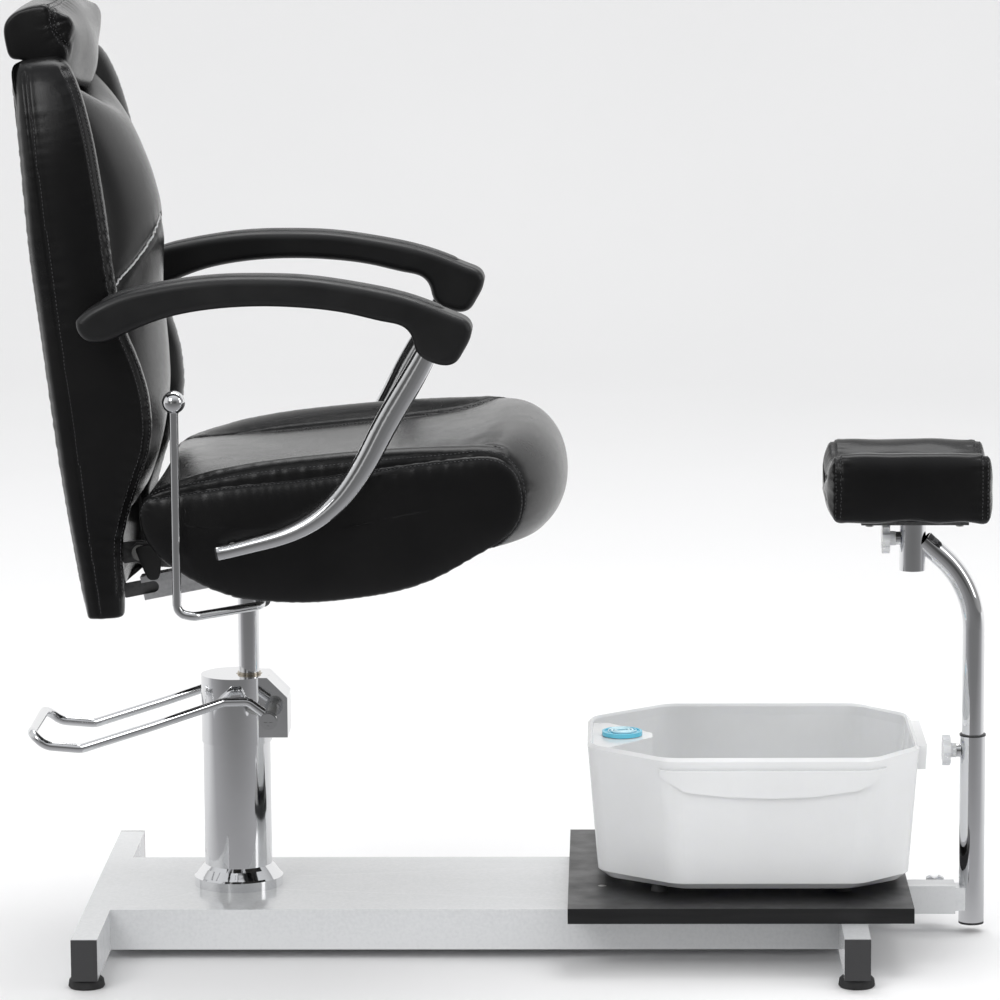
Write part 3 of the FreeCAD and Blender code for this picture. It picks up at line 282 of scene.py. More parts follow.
def finish_soft(ob, body, *replaced):
    """Vinyl cover that moves with a body and stands in for CAD nodes."""
    dress(ob, "black_vinyl", body)
    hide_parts(*replaced)


# ------------------------------------------------------------------ cloth and sewing
def seam_distance(co, line):
    """Distance of each point to a dense polyline and the running length there."""
    tree = KDTree(len(line))
    for i, p in enumerate(line):
        tree.insert(p, i)
    tree.balance()
    run = run_length(line)
    low, high = line.min(0) - 0.04, line.max(0) + 0.04
    near = np.all((co > low) & (co < high), axis=1)
    distance, along = np.full(len(co), 9.0), np.zeros(len(co))    # 9 m marks far points
    for i in np.nonzero(near)[0]:
        _, k, distance[i] = tree.find(co[i])
        along[i] = run[k]
    return distance, along


def near_lines(co, lines, reach):
    """Mask of the points closer than reach to any of the lines."""
    mask = np.zeros(len(co), bool)
    for line in lines:
        mask |= seam_distance(co, resample(line, 0.003))[0] < reach
    return mask


def groove(ob, line, *, depth, width, pucker, reach, pitch, seed, lip=0.0006):
    """Presses a sewn seam into the surface, with small gathers running away from it.

    lip is the height of the swell beside the seam. pucker, reach and pitch are the
    height of the gathers, how far they run and their spacing.
    """
    d, s = seam_distance(coords(ob), resample(line, 0.0015))
    phase = np.random.RandomState(seed).uniform(0, 6.28, 4)
    # spacing and height of the gathers wander along the seam
    gathers = (np.sin(2 * math.pi * s / pitch + phase[0] + 1.3 * np.sin(s * 61 + phase[1]))
               * (0.6 + 0.4 * np.sin(s * 23 + phase[2])))
    # a second, finer set at about half the spacing
    gathers += 0.5 * np.sin(2 * math.pi * s / (pitch * 0.53) + phase[3])
    # gathers start just outside the seam line and die out with distance
    fade = np.exp(-((d - width * 1.6) / reach) ** 2) * (d > width * 0.3) * (d < 3 * reach)
    sunk = -depth * 0.8 * np.exp(-(d / width) ** 2)
    swell = lip * np.exp(-((d - 2.2 * width) / (1.3 * width)) ** 2)
    move = sunk + swell + 0.42 * pucker * gathers * fade
    move[d > 1] = 0
    push_out(ob, move)


def ripple(ob, *, scale, seed, height, weight=1.0):
    """Uneven swells over the whole surface."""
    push_out(ob, soft_noise(coords(ob), scale, seed) * height * weight)


def relax(ob, *, axis, weight, rounds):
    """Evens out one coordinate over the surface where weight is above zero."""
    edges = np.zeros(len(ob.data.edges) * 2, int)
    ob.data.edges.foreach_get("vertices", edges)
    a, b = edges.reshape(-1, 2).T
    co = coords(ob)
    n = len(co)
    degree = np.maximum(np.bincount(edges, minlength=n), 1)
    for _ in range(rounds):
        v = co[:, axis]
        total = (np.bincount(a, weights=v[b], minlength=n)
                 + np.bincount(b, weights=v[a], minlength=n))
        co[:, axis] = v + (total / degree - v) * weight * 0.8
    set_coords(ob, co)


def puff(ob, pins, *, pressure, cap):
    """Air pressure in a cloth skin, held at the pinned vertices, moving at most cap."""
    if not DETAIL:
        return
    frames, stiffness = 9, 18
    start = coords(ob)
    group = ob.vertex_groups.new(name="pin")
    group.add([int(i) for i in np.nonzero(pins)[0]], 1.0, "REPLACE")
    mod = ob.modifiers.new("cloth", "CLOTH")
    cloth = mod.settings
    cloth.quality = 3
    cloth.mass = 0.35
    cloth.tension_stiffness = cloth.compression_stiffness = stiffness
    cloth.shear_stiffness = stiffness * 0.6
    cloth.bending_stiffness = 0.8
    cloth.use_pressure = True
    cloth.uniform_pressure_force = pressure
    cloth.effector_weights.gravity = 0
    cloth.vertex_group_mass = "pin"
    mod.collision_settings.use_collision = False
    mod.collision_settings.use_self_collision = False
    mod.point_cache.frame_start, mod.point_cache.frame_end = 1, frames
    SCENE.frame_start, SCENE.frame_end = 1, frames
    for f in range(1, frames + 1):
        SCENE.frame_set(f)
    evaluated = ob.evaluated_get(bpy.context.evaluated_depsgraph_get())
    move = read_vectors(evaluated.to_mesh(), "co") - start
    evaluated.to_mesh_clear()
    ob.modifiers.clear()
    ob.vertex_groups.clear()
    SCENE.frame_set(1)
    move[~np.isfinite(move).all(1)] = 0
    size = np.linalg.norm(move, axis=1)
    limit = np.where(size > 1e-9, cap * np.tanh(size / cap) / np.maximum(size, 1e-9), 1)
    set_coords(ob, start + move * limit[:, None])


def surface_tree(ob):
    return BVHTree.FromObject(ob, bpy.context.evaluated_depsgraph_get())


def closest(ob, points):
    """Closest surface points and the normals there."""
    tree = surface_tree(ob)
    hits = [tree.find_nearest(Vector(p)) for p in points]
    return np.array([hit[0] for hit in hits]), np.array([hit[1] for hit in hits])


def on_surface(ob, line, step=0.004):
    return closest(ob, resample(line, step))[0]


STITCH_PITCH, STITCH_LENGTH, STITCH_RADIUS, STITCH_RING = 0.0046, 0.0031, 0.00042, 6
# one stitch: share of its length, lift off the surface, share of its radius
STITCH = [(-0.5, -0.0005, 0.35), (-0.34, 0.00012, 0.85), (0, 0.00030, 1.0),
          (0.34, 0.00012, 0.85), (0.5, -0.0005, 0.35)]


def stitches(name, runs, body):
    """Rows of thread stitches as small rounded beads lying on the surface.

    runs: list of (object, polyline, sideways offset).
    """
    verts, faces = [], []
    for ob, line, side in runs:
        p, normals = closest(ob, resample(line, 0.002))
        tangents = unit(np.gradient(p, axis=0))
        p, normals = closest(ob, p + np.cross(normals, tangents) * side)
        run = run_length(p)
        for i in range(int(run[-1] / STITCH_PITCH)):
            middle = (i + 0.5) * STITCH_PITCH
            normal = unit(at_length(middle, run, normals))
            spine = [at_length(middle + t * STITCH_LENGTH, run, p) + normal * lift
                     for t, lift, _ in STITCH]
            across = unit(np.cross(unit(spine[-1] - spine[0]), normal))
            faces += stack_faces(len(verts), len(STITCH), STITCH_RING)
            for point, (_, _, share) in zip(spine, STITCH):
                verts += ring_points(point, normal, across, STITCH_RADIUS * share, STITCH_RING)
    dress(new_object(name, verts, faces), "thread", body)


def both_sides(ob, line, offset):
    """Stitch runs on both sides of a seam."""
    return [(ob, line, offset), (ob, line, -offset)]


def cord(name, line, taper, *, radius, material, body):
    """Round cord along a polyline; taper scales the radius at each point."""
    ring = 8
    tangents = unit(np.gradient(line, axis=0))
    x = np.cross(tangents[0], np.array([0.13, 0.31, 0.94]))    # any steady sideways start
    verts = []
    for point, tangent, share in zip(line, tangents, taper):
        x = unit(x - tangent * (x @ tangent))
        verts += ring_points(point, x, np.cross(tangent, x), radius * share, ring)
    dress(tidy(new_object(name, verts, stack_faces(0, len(line), ring))), material, body)


# ------------------------------------------------------------------ shader helpers
MATERIALS = {}
BLACK, WHITE = (0, 0, 0), (1, 1, 1)


def feed(tree, node, inputs):
    """Sets node inputs to values, or links them where the value is a socket."""
    for key, value in inputs.items():
        if isinstance(value, bpy.types.NodeSocket):
            tree.links.new(value, node.inputs[key])
        else:
            node.inputs[key].default_value = value


def add_node(tree, kind, inputs=None, **settings):
    node = tree.nodes.new(kind)
    for key, value in settings.items():
        setattr(node, key, value)
    feed(tree, node, inputs or {})
    return node


def add_ramp(tree, source, stops):
    """Colour ramp; stops are (position, colour)."""
    node = add_node(tree, "ShaderNodeValToRGB", {0: source})
    elements = node.color_ramp.elements
    while len(elements) < len(stops):
        elements.new(0.5)
    for k, (position, colour) in enumerate(stops):
        elements[k].position = position
        elements[k].color = (*colour, 1)
    return node.outputs[0]


def greys(stops):
    return [(position, (v, v, v)) for position, v in stops]


class Material:
    """A Principled material; pattern scales are counts per metre in object space."""

    def __init__(self, name):
        data = bpy.data.materials.new(name)
        data.use_nodes = True
        self.tree = data.node_tree
        self.tree.nodes.clear()
        self.output = self.node("ShaderNodeOutputMaterial")
        self.shader = self.node("ShaderNodeBsdfPrincipled")
        feed(self.tree, self.output, {0: self.shader.outputs[0]})
        self.position = self.node("ShaderNodeTexCoord").outputs["Object"]
        MATERIALS[name] = data

    def node(self, kind, inputs=None, **settings):
        return add_node(self.tree, kind, inputs, **settings)

    def set(self, **inputs):
        feed(self.tree, self.shader, {k.replace("_", " "): v for k, v in inputs.items()})

    def noise(self, scale, detail=4, rough=0.5, warp=0.0, stretch=None):
        vector = self.position
        if stretch:
            mapping = self.node("ShaderNodeMapping", {"Scale": stretch, "Vector": vector})
            vector = mapping.outputs[0]
        return self.node("ShaderNodeTexNoise", {
            "Scale": scale, "Detail": detail, "Roughness": rough, "Distortion": warp,
            "Vector": vector}).outputs[0]

    def cells(self, scale):
        """Distance to the edges of small cells."""
        return self.node("ShaderNodeTexVoronoi", {"Scale": scale, "Vector": self.position},
                         feature="DISTANCE_TO_EDGE").outputs["Distance"]

    def ramp(self, source, stops):
        return add_ramp(self.tree, source, stops)

    def remap(self, source, span, low, high):
        """Maps the values in span to low..high."""
        return self.node("ShaderNodeMapRange", {
            1: span[0], 2: span[1], 3: low, 4: high, 0: source}).outputs[0]

    def math(self, operation, a, b):
        return self.node("ShaderNodeMath", {0: a, 1: b}, operation=operation).outputs[0]

    def weigh(self, a, b, share):
        """Mix of two patterns, share of the first."""
        return self.math("ADD", self.math("MULTIPLY", a, share),
                         self.math("MULTIPLY", b, 1 - share))

    def bump(self, height, strength, distance, under=None):
        inputs = {"Strength": strength, "Distance": distance, "Height": height}
        if under is not None:
            inputs["Normal"] = under
        return self.node("ShaderNodeBump", inputs).outputs[0]

    def tint(self, source, dark, light, span=(0.3, 0.7)):
        self.set(Base_Color=self.ramp(source, [(span[0], dark), (span[1], light)]))

    def roughness(self, source, low, high, span=(0.3, 0.7)):
        self.set(Roughness=self.remap(source, span, low, high))


# ------------------------------------------------------------------ materials
def vinyl(name, rough_low, rough_high, tone=0.0):
    """Black vinyl with fine pores; tone lightens it."""
    m = Material(name)
    large = m.noise(5.5, detail=3, rough=0.55)
    small = m.noise(38, rough=0.6, warp=0.4)
    m.tint(m.noise(9, detail=5, rough=0.6), (0.0038 + tone, 0.0038 + tone, 0.0041 + tone),
           (0.0075 + tone, 0.0073 + tone, 0.0073 + tone), span=(0.3, 0.75))
    m.roughness(m.weigh(large, small, share=0.7), rough_low, rough_high, span=(0.32, 0.68))
    pores = m.ramp(m.cells(1150), greys([(0.0, 0), (0.16, 0.8), (0.5, 1)]))
    normal = m.bump(pores, strength=0.16, distance=0.00022)
    normal = m.bump(m.noise(170, detail=5, rough=0.62, warp=0.8),
                    strength=0.06, distance=0.0006, under=normal)
    normal = m.bump(m.noise(26, detail=3, warp=0.6),
                    strength=0.10, distance=0.0022, under=normal)
    m.set(Normal=normal, IOR=1.45, Coat_Weight=0.08, Coat_Roughness=0.16,
          Specular_IOR_Level=0.33)


def metal(name, colour, rough, aniso=0.0, scratch=0.05, grime=0.04):
    """Metal with fine marks drawn out along z; grime darkens the cloudy patches."""
    m = Material(name)
    m.set(Metallic=1.0, Anisotropic=aniso)
    clouds = m.noise(14, detail=5, rough=0.6)
    m.tint(clouds, tuple(max(0, c - grime) for c in colour), colour, span=(0.35, 0.7))
    fine = m.noise(900, detail=2, stretch=(1, 1, 0.06))
    m.roughness(m.weigh(clouds, fine, share=0.6), rough * 0.7, rough * 1.5 + scratch * 0.3,
                span=(0.3, 0.75))
    m.set(Normal=m.bump(m.noise(60, detail=3), strength=0.025, distance=0.0012,
                        under=m.bump(fine, strength=0.012, distance=0.0002)))


def paint(name, colour, rough, peel, wear=None):
    """Paint or plastic with a slight orange peel; wear is the colour of rubbed edges."""
    m = Material(name)
    dark = tuple(c * 0.93 for c in colour)
    base = m.ramp(m.noise(7, detail=5, rough=0.6), [(0.3, dark), (0.72, colour)])
    if wear:
        # pointiness is about 0.5 on flats and higher on sharp outside edges
        edge = m.node("ShaderNodeNewGeometry").outputs["Pointiness"]
        breakup = m.math("MULTIPLY", m.math("SUBTRACT", m.noise(240), 0.5), 0.10)
        mask = m.ramp(m.math("ADD", edge, breakup), [(0.56, BLACK), (0.64, WHITE)])
        base = m.node("ShaderNodeMix", {0: mask, 6: base, 7: (*wear, 1)},
                      data_type="RGBA").outputs[2]
    m.set(Base_Color=base)
    m.roughness(m.noise(22, detail=5, rough=0.65), rough * 0.75, rough * 1.5)
    m.set(Normal=m.bump(m.noise(420, detail=3), strength=peel, distance=0.0004,
                        under=m.bump(m.noise(45, detail=2), strength=peel * 0.8,
                                     distance=0.0012)))
    return m


def black_rubber():
    m = Material("black_rubber")
    m.tint(m.noise(60, detail=6, rough=0.7), (0.012, 0.012, 0.012), (0.03, 0.03, 0.031))
    m.roughness(m.noise(130), 0.55, 0.78)
    m.set(Normal=m.bump(m.noise(700, rough=0.6), strength=0.25, distance=0.0003))


def black_board():
    m = Material("black_board")
    grain = m.noise(18, detail=6, rough=0.65, warp=0.6, stretch=(0.35, 6, 6))
    m.tint(grain, (0.006, 0.006, 0.0065), (0.013, 0.013, 0.0135), span=(0.35, 0.7))
    m.roughness(m.noise(30, detail=5), 0.30, 0.46)
    m.set(Normal=m.bump(m.noise(900, detail=3, rough=0.6), strength=0.16, distance=0.0003,
                        under=m.bump(grain, strength=0.10, distance=0.0006)))


def plywood():
    m = Material("plywood")
    grain = m.noise(22, detail=6, rough=0.7, warp=1.2, stretch=(0.3, 5, 14))
    m.tint(grain, (0.010, 0.009, 0.008), (0.022, 0.019, 0.016))
    m.roughness(m.noise(40), 0.55, 0.75)
    m.set(Normal=m.bump(grain, strength=0.3, distance=0.0006))


def arm_plastic():
    m = Material("arm_plastic")
    m.tint(m.noise(12, detail=5, rough=0.6), (0.0055, 0.0055, 0.006), (0.010, 0.010, 0.0105))
    m.roughness(m.noise(24, detail=5), 0.34, 0.46)
    m.set(Normal=m.bump(m.noise(1500, detail=3, rough=0.6), strength=0.16, distance=0.00022,
                        under=m.bump(m.noise(55, detail=3), strength=0.05, distance=0.001)))


def arm_inlay():
    """Dark plastic with a small pebbled grain."""
    m = Material("arm_inlay")
    m.tint(m.noise(16, detail=5, rough=0.6), (0.010, 0.010, 0.0105), (0.019, 0.019, 0.020))
    pebbles = m.cells(620)
    m.roughness(m.noise(40, detail=5), 0.36, 0.5)
    m.set(Normal=m.bump(m.ramp(pebbles, [(0, BLACK), (0.25, WHITE)]),
                        strength=0.5, distance=0.0004,
                        under=m.bump(m.noise(260), strength=0.25, distance=0.0005)))


def knob_plastic():
    """Pale, slightly clear plastic."""
    m = Material("knob_plastic")
    m.tint(m.noise(25), (0.74, 0.755, 0.775), (0.86, 0.87, 0.885))
    m.roughness(m.noise(60), 0.16, 0.30)
    m.set(Normal=m.bump(m.noise(120, detail=3), strength=0.05, distance=0.0008),
          Transmission_Weight=0.25, IOR=1.49, Subsurface_Weight=0.35,
          Subsurface_Radius=(0.006, 0.006, 0.007), Subsurface_Scale=1.0)


def cyan(name, dark, light, rough_low, rough_high):
    m = Material(name)
    m.tint(m.noise(30), dark, light)
    m.roughness(m.noise(60), rough_low, rough_high)
    m.set(Normal=m.bump(m.noise(300, detail=3), strength=0.05, distance=0.0005))


def make_materials():
    vinyl("black_vinyl", rough_low=0.17, rough_high=0.29)
    vinyl("vinyl_back", rough_low=0.33, rough_high=0.46, tone=0.001)
    metal("chrome", (0.86, 0.865, 0.875), rough=0.05)
    metal("zinc_steel", (0.58, 0.58, 0.565), rough=0.26, aniso=0.2, scratch=0.12, grime=0.1)
    metal("bronze", (0.56, 0.51, 0.43), rough=0.2)
    white = paint("white_paint", (0.60, 0.612, 0.628), rough=0.15, peel=0.05,
                  wear=(0.70, 0.71, 0.72))
    white.set(Coat_Weight=0.5, Coat_Roughness=0.06)
    paint("black_plastic", (0.011, 0.011, 0.0115), rough=0.42, peel=0.22,
          wear=(0.045, 0.045, 0.047))
    paint("black_steel", (0.013, 0.013, 0.0135), rough=0.36, peel=0.16,
          wear=(0.09, 0.09, 0.092))
    paint("grey_paint", (0.27, 0.275, 0.285), rough=0.34, peel=0.12, wear=(0.42, 0.42, 0.43))
    white = paint("white_plastic", (0.77, 0.778, 0.784), rough=0.17, peel=0.045)
    white.set(Subsurface_Weight=0.12, Subsurface_Radius=(0.004, 0.004, 0.005),
              Subsurface_Scale=1.0)
    paint("thread", (0.052, 0.052, 0.055), rough=0.5, peel=0.3)
    # light grey piping colour: painted highlight, standing for the bright line the light draws
    # along the piping ridge
    paint("piping", (0.56, 0.56, 0.57), rough=0.26, peel=0.1)
    black_rubber()
    black_board()
    plywood()
    arm_plastic()
    arm_inlay()
    knob_plastic()
    cyan("cyan_plastic", (0.10, 0.50, 0.68), (0.17, 0.62, 0.80), rough_low=0.16, rough_high=0.28)
    cyan("cyan_light", (0.55, 0.80, 0.88), (0.68, 0.88, 0.94), rough_low=0.2, rough_high=0.3)


def paint_cad_pieces():
    slots = {part["node"]: part["material_slot"] for part in frame["record"]["subparts"]}
    for name, ob in NODES.items():
        ob.data.materials.clear()
        ob.data.materials.append(MATERIALS[slots[name]])


# ------------------------------------------------------------------ seat
# closed outlines (x from SEAT_X, z) at the middle and at the sides of the seat
SEAT_MIDDLE = [
    (-60, 503), (-80, 514), (-87, 543), (-82, 561), (-62, 574), (-20, 579), (60, 584),
    (140, 592), (215, 601), (275, 611), (318, 624), (346, 630), (370, 620), (388, 598),
    (396, 570), (394, 541), (378, 513), (346, 501), (200, 502), (60, 502)]
SEAT_SIDE = [
    (-56, 507), (-76, 516), (-85, 543), (-82, 560), (-64, 572), (-20, 580), (60, 592),
    (140, 600), (215, 607), (270, 612), (300, 616), (319, 614), (334, 605), (345, 589),
    (350, 565), (345, 537), (329, 515), (300, 502), (200, 502), (60, 502)]
# tables of (x stations from SEAT_X, values)
SEAT_SEAM_Y = ([-95, -78, -66, -40, 0, 100, 200, 250, 285, 310, 328, 345],
               [214, 206, 190, 174, 167, 166, 167, 173, 187, 203, 214, 222])
SEAT_SEAM_Z = ([-95, -82, -66, -20, 60, 140, 215, 270, 300, 330],
               [556, 570, 577, 585, 591, 598, 606, 614, 620, 620])
SEAT_ROLL_RISE = ([-95, -74, -40, 0, 60, 130, 185, 246, 290, 318, 345],
                  [0, 1.5, 7, 11, 13.5, 14, 13, 10, 5.5, 1.5, 0])
SEAT_ROLL_Y = 213                  # crest of the raised roll along each side
# closing sections of the seat cover: (y, size)
SEAT_ENDS = [(227.5, 0.94), (226.6, 0.975), (224.2, 0.993)]

# side panel of the seat: closed outline (x from SEAT_X, z)
PANEL_OUTLINE = [
    (-89, 545), (-87, 556), (-80, 564), (-56, 568), (22, 579), (101, 587), (215, 602),
    (290, 610), (316, 609), (331, 602), (343, 589), (349, 563), (344, 535), (328, 515),
    (294, 494), (247, 468), (202, 453), (145, 444), (99, 440.5), (56, 442), (25, 446),
    (-14, 459), (-56, 484), (-78, 507), (-87, 527)]
# height of the line the panel outline shrinks to: (x stations, z)
PANEL_CENTRE_Z = ([-60, 0, 120, 250, 330], [528, 520, 520, 540, 560])
# from the inner face round the rim to the outer face: (share of the way to the centre, y)
PANEL_PROFILE = [
    (0.60, 207.0), (0.30, 206.5), (0.06, 206.5), (0.02, 208.5), (0.004, 213), (0.0, 218.5),
    (0.004, 223.5), (0.014, 227.6), (0.035, 230.6), (0.07, 232.8), (0.13, 234.6),
    (0.22, 236.0), (0.34, 237.0), (0.5, 237.6), (0.68, 237.9), (0.84, 238.0)]


def seat_points(x, y, z):
    return np.stack(np.broadcast_arrays(x + SEAT_X, y, z), 1)


def seat_section(y):
    """Outline (x, z) of the seat cover at y."""
    counts = seg_counts(SEAT_MIDDLE, STEP)
    out = abs(y)
    share = (out / 227.0) ** 2.6
    p = catmull(SEAT_MIDDLE, counts) * (1 - share) + catmull(SEAT_SIDE, counts) * share
    on_top = np.clip((p[:, 1] - 560) / 22.0, 0, 1)
    seam_y = pchip(SEAT_SEAM_Y, p[:, 0])
    roll = pchip(SEAT_ROLL_RISE, p[:, 0])
    across = np.clip((out - seam_y) / np.maximum(SEAT_ROLL_Y - seam_y, 4), 0, 1)
    rise = np.sin(across * math.pi / 2)
    if out > SEAT_ROLL_Y:
        fall = ((out - SEAT_ROLL_Y) / 14.0) ** 1.6
        rise = rise * (1 - 0.72 * fall)
        p[:, 1] -= 5.0 * fall * on_top
    valley = -3.2 * np.exp(-((out - seam_y) / 15.0) ** 2) * np.clip(roll / 8, 0, 1)
    p[:, 1] += (roll * rise + valley) * on_top
    return p


def seat_seam(side):
    """Seam between the seat's flat middle and the roll on one side."""
    x = np.linspace(-76, 326, 140)
    return seat_points(x, side * pchip(SEAT_SEAM_Y, x), pchip(SEAT_SEAM_Z, x)) / 1000.0


def seat_edge(side, y=226.0):
    """Outer edge of the seat cover, over the top from the rear to the front."""
    p = closed_curve(SEAT_SIDE, LINE_STEP)
    p = p[nearest(p, (-66, 500)):nearest(p, (300, 502))]
    return seat_points(p[:, 0], side * y, p[:, 1]) / 1000.0


def seat_cover():
    rows = []
    middle = [(y, 1.0) for y in np.arange(-220, 220.1, STEP * 1.02)]
    for y, size in with_ends(SEAT_ENDS, middle):
        p = seat_section(y)
        core = np.array([np.clip(p[:, 0], -40, 300), np.full(len(p), 548.0)]).T
        p = core + (p - core) * size
        rows.append(seat_points(p[:, 0], y, p[:, 1]))
    cover = loft("seat_top_cover", rows, cap_rings=6)

    co = coords(cover)
    lines = [line(side) for side, _ in SIDES for line in (seat_seam, seat_edge)]
    puff(cover, near_lines(co, lines, 0.007) | (co[:, 2] < 0.507), pressure=3.0, cap=0.0045)
    subdivide(cover)
    seams = []
    for side, _ in SIDES:
        seam = on_surface(cover, seat_seam(side))
        seams.append(seam)
        groove(cover, seam, depth=0.0034, width=0.0030, pucker=0.0005, reach=0.012,
               pitch=0.019, seed=5 + side)
        groove(cover, seat_edge(side), depth=0.0, width=0.003, pucker=0.0008, reach=0.012,
               pitch=0.021, seed=8 + side, lip=0.0)
    finish_soft(cover, "seat", "seat_cushion")
    return cover, seams


def side_panel_mesh(side, name):
    outline = closed_curve(PANEL_OUTLINE, STEP * 0.9)
    centre_x = outline[:, 0] * 0.72 + 34
    centre = np.stack([np.clip(centre_x, -40, 270), pchip(PANEL_CENTRE_Z, centre_x)], 1)
    rows = []
    for share, y in PANEL_PROFILE:
        p = outline + (centre - outline) * share
        rows.append(seat_points(p[:, 0], side * y, p[:, 1]))
    # rings between the profile rings, so the face has even quads
    fine = []
    for a, b in zip(rows, rows[1:]):
        gap = np.linalg.norm(b - a, axis=1).mean()
        n = max(1, int(gap / (STEP * 1.4)))
        fine += [a + (b - a) * j / n for j in range(n)]
    return loft("seat_side_panel_" + name, fine + [rows[-1]], cap_rings=2)


def side_panel(side, name):
    panel = side_panel_mesh(side, name)
    puff(panel, np.abs(coords(panel)[:, 1]) < 0.224, pressure=2.0, cap=0.003)
    subdivide(panel)
    outer = np.clip((np.abs(coords(panel)[:, 1]) - 0.227) / 0.004, 0, 1)
    relax(panel, axis=1, weight=outer, rounds=140)
    face = np.clip((np.abs(coords(panel)[:, 1]) - 0.222) / 0.01, 0, 1)
    ripple(panel, scale=0.16, seed=21 + side, height=0.0011, weight=face)
    p = closed_curve(PANEL_OUTLINE, LINE_STEP)
    groove(panel, seat_points(p[:, 0], side * 228.5, p[:, 1]) / 1000.0, depth=0.0,
           width=0.003, pucker=0.0007, reach=0.014, pitch=0.018, seed=30 + side, lip=0.0)
    finish_soft(panel, "seat", "seat_side_bolsters")
    return panel


def build_seat():
    cover, seams = seat_cover()
    panels = [side_panel(side, name) for side, name in SIDES]
    p = closed_curve(PANEL_OUTLINE, LINE_STEP)
    p = p[:nearest(p, (300, 497))]
    runs = []
    for (side, _), seam, panel in zip(SIDES, seams, panels):
        runs += both_sides(cover, seam, 0.0042)
        runs.append((cover, seat_edge(side, 224.0), 0.0))
        line = seat_points(p[:, 0], side * 231.0, p[:, 1] - 4.0) / 1000.0
        runs.append((panel, line, 0.0))
    stitches("seat_stitches", runs, "seat")


# ------------------------------------------------------------------ back
# The back has its own frame: depth d forwards and height s upwards, leaning rearwards.
BACK_X, BACK_Z = -479.0, 416.0
BACK_LEAN = math.radians(6.875)
LEAN_COS, LEAN_SIN = math.cos(BACK_LEAN), math.sin(BACK_LEAN)
# tables of (heights s, values)
ROLL_DEPTH = ([0, 40, 86, 115, 138, 165, 190, 222, 250, 278, 305, 326, 355, 400, 459, 520,
               585, 620, 645],
              [41, 46, 51, 61, 71, 84, 96, 103, 104, 101, 95, 89, 85, 84, 85, 83,
               76, 67, 55])
REAR_DEPTH = ([0, 20, 200, 400, 560, 645],
              [0, 0, -5, -5, 0, 2])
RECESS_DEPTH = ([90, 104, 140, 190, 240, 300, 340, 372, 420, 470, 520, 582, 645],
                [46, 52, 62, 73, 78, 77, 72, 68, 66, 66, 64, 56, 42])
HALF_WIDTH = ([0, 60, 200, 420, 520, 580, 612, 630, 645],
              [221, 224, 226, 226, 222, 213, 203, 194, 182])
CUSHION_DEPTH = ([97, 110, 140, 164, 190, 214, 251, 300, 338, 380, 414, 442, 480, 518, 550,
                  583, 610, 640],
                 [54, 60, 74, 85, 95, 103, 111, 113, 113, 119, 126, 128, 124, 115, 105,
                  93, 80, 66])
# closing sections of the back cover: (s, how far they draw in)
BACK_LOW_ENDS = [(2.2, 7), (2.6, 3.2), (4.2, 1.0)]
BACK_HIGH_ENDS = [(636, 1.2), (639.5, 3.5), (642, 7.5), (643, 13)]
CUSHION_BOTTOM = 97


def back_points(d, y, s):
    """World points in millimetres from the frame of the back."""
    d, y, s = np.broadcast_arrays(*(np.asarray(v, float) for v in (d, y, s)))
    return np.stack([BACK_X + d * LEAN_COS - s * LEAN_SIN, y,
                     BACK_Z + d * LEAN_SIN + s * LEAN_COS], -1)


def back_frame(co):
    """Depth and height in the frame of the back, in millimetres."""
    x, z = co[:, 0] * 1000 - BACK_X, co[:, 2] * 1000 - BACK_Z
    return x * LEAN_COS + z * LEAN_SIN, -x * LEAN_SIN + z * LEAN_COS


def back_counts():
    """Sample counts of the sections, from a plain section at mid height."""
    s, w = 300, 226
    f, r, c = (float(pchip(table, s)) for table in (ROLL_DEPTH, REAR_DEPTH, RECESS_DEPTH))
    m = (r + f) / 2
    half = [(0, r), (110, r), (185, r), (w - 12, r), (w - 4, r + 6), (w, r + 15), (w, m),
            (w, f - 16), (w, f - 6), (w - 6, f), (w - 13, f + 4), (w - 23, f + 5),
            (w - 36, f + 1), (w - 50, f - 10), (w - 62, c), (w - 72, c - 7),
            (w - 90, c - 12), (60, c - 13)]
    return seg_counts(mirrored(half), STEP)


def back_section(s, counts, draw_in):
    """Outline (y, d) of the back cover at height s: side rolls around a recess."""
    f, r, w = (float(pchip(table, s)) for table in (ROLL_DEPTH, REAR_DEPTH, HALF_WIDTH))
    c = min(float(pchip(RECESS_DEPTH, s)), f - 6)
    floor_d = c - 12
    m = (r + f) / 2
    half = [(0, r - 1.5), (110, r - 1.2), (185, r), (w - 12, r + 1.5), (w - 4, r + 6),
            (w - 0.5, r + 15), (w + 1.5, m), (w + 1.0, f - 16), (w - 1.5, f - 6),
            (w - 6, f - 0.5), (w - 13, f + 2.2), (w - 23, f + 2.6), (w - 36, f - 0.5),
            (w - 50, f - (f - c) * 0.45), (w - 62, c + 1), (w - 72, floor_d + 5),
            (w - 90, floor_d), (60, floor_d - 1)]
    p = catmull(mirrored(half), counts)
    if draw_in:
        core = np.stack([np.clip(p[:, 0], -(w - 30), w - 30), np.full(len(p), m - 3)], 1)
        v = p - core
        size = np.maximum(np.linalg.norm(v, axis=1), 1e-6)
        p = core + v * np.maximum(0, (size - draw_in) / size)[:, None]
    return p


def back_cover_mesh():
    counts = back_counts()
    middle = [(s, 0) for s in np.arange(8, 634, STEP)]
    rows = []
    for s, draw_in in BACK_LOW_ENDS + middle + BACK_HIGH_ENDS:
        p = back_section(s, counts, draw_in)
        rows.append(back_points(p[:, 1], p[:, 0], s))
    # wavy lower hem
    for i, row in enumerate(rows[:5]):
        row[:, 2] += np.sin(row[:, 1] * 0.035 + row[:, 0] * 0.06) * 1.6 * (1 - i / 5)
    return loft("back_cover", rows, cap_rings=8)


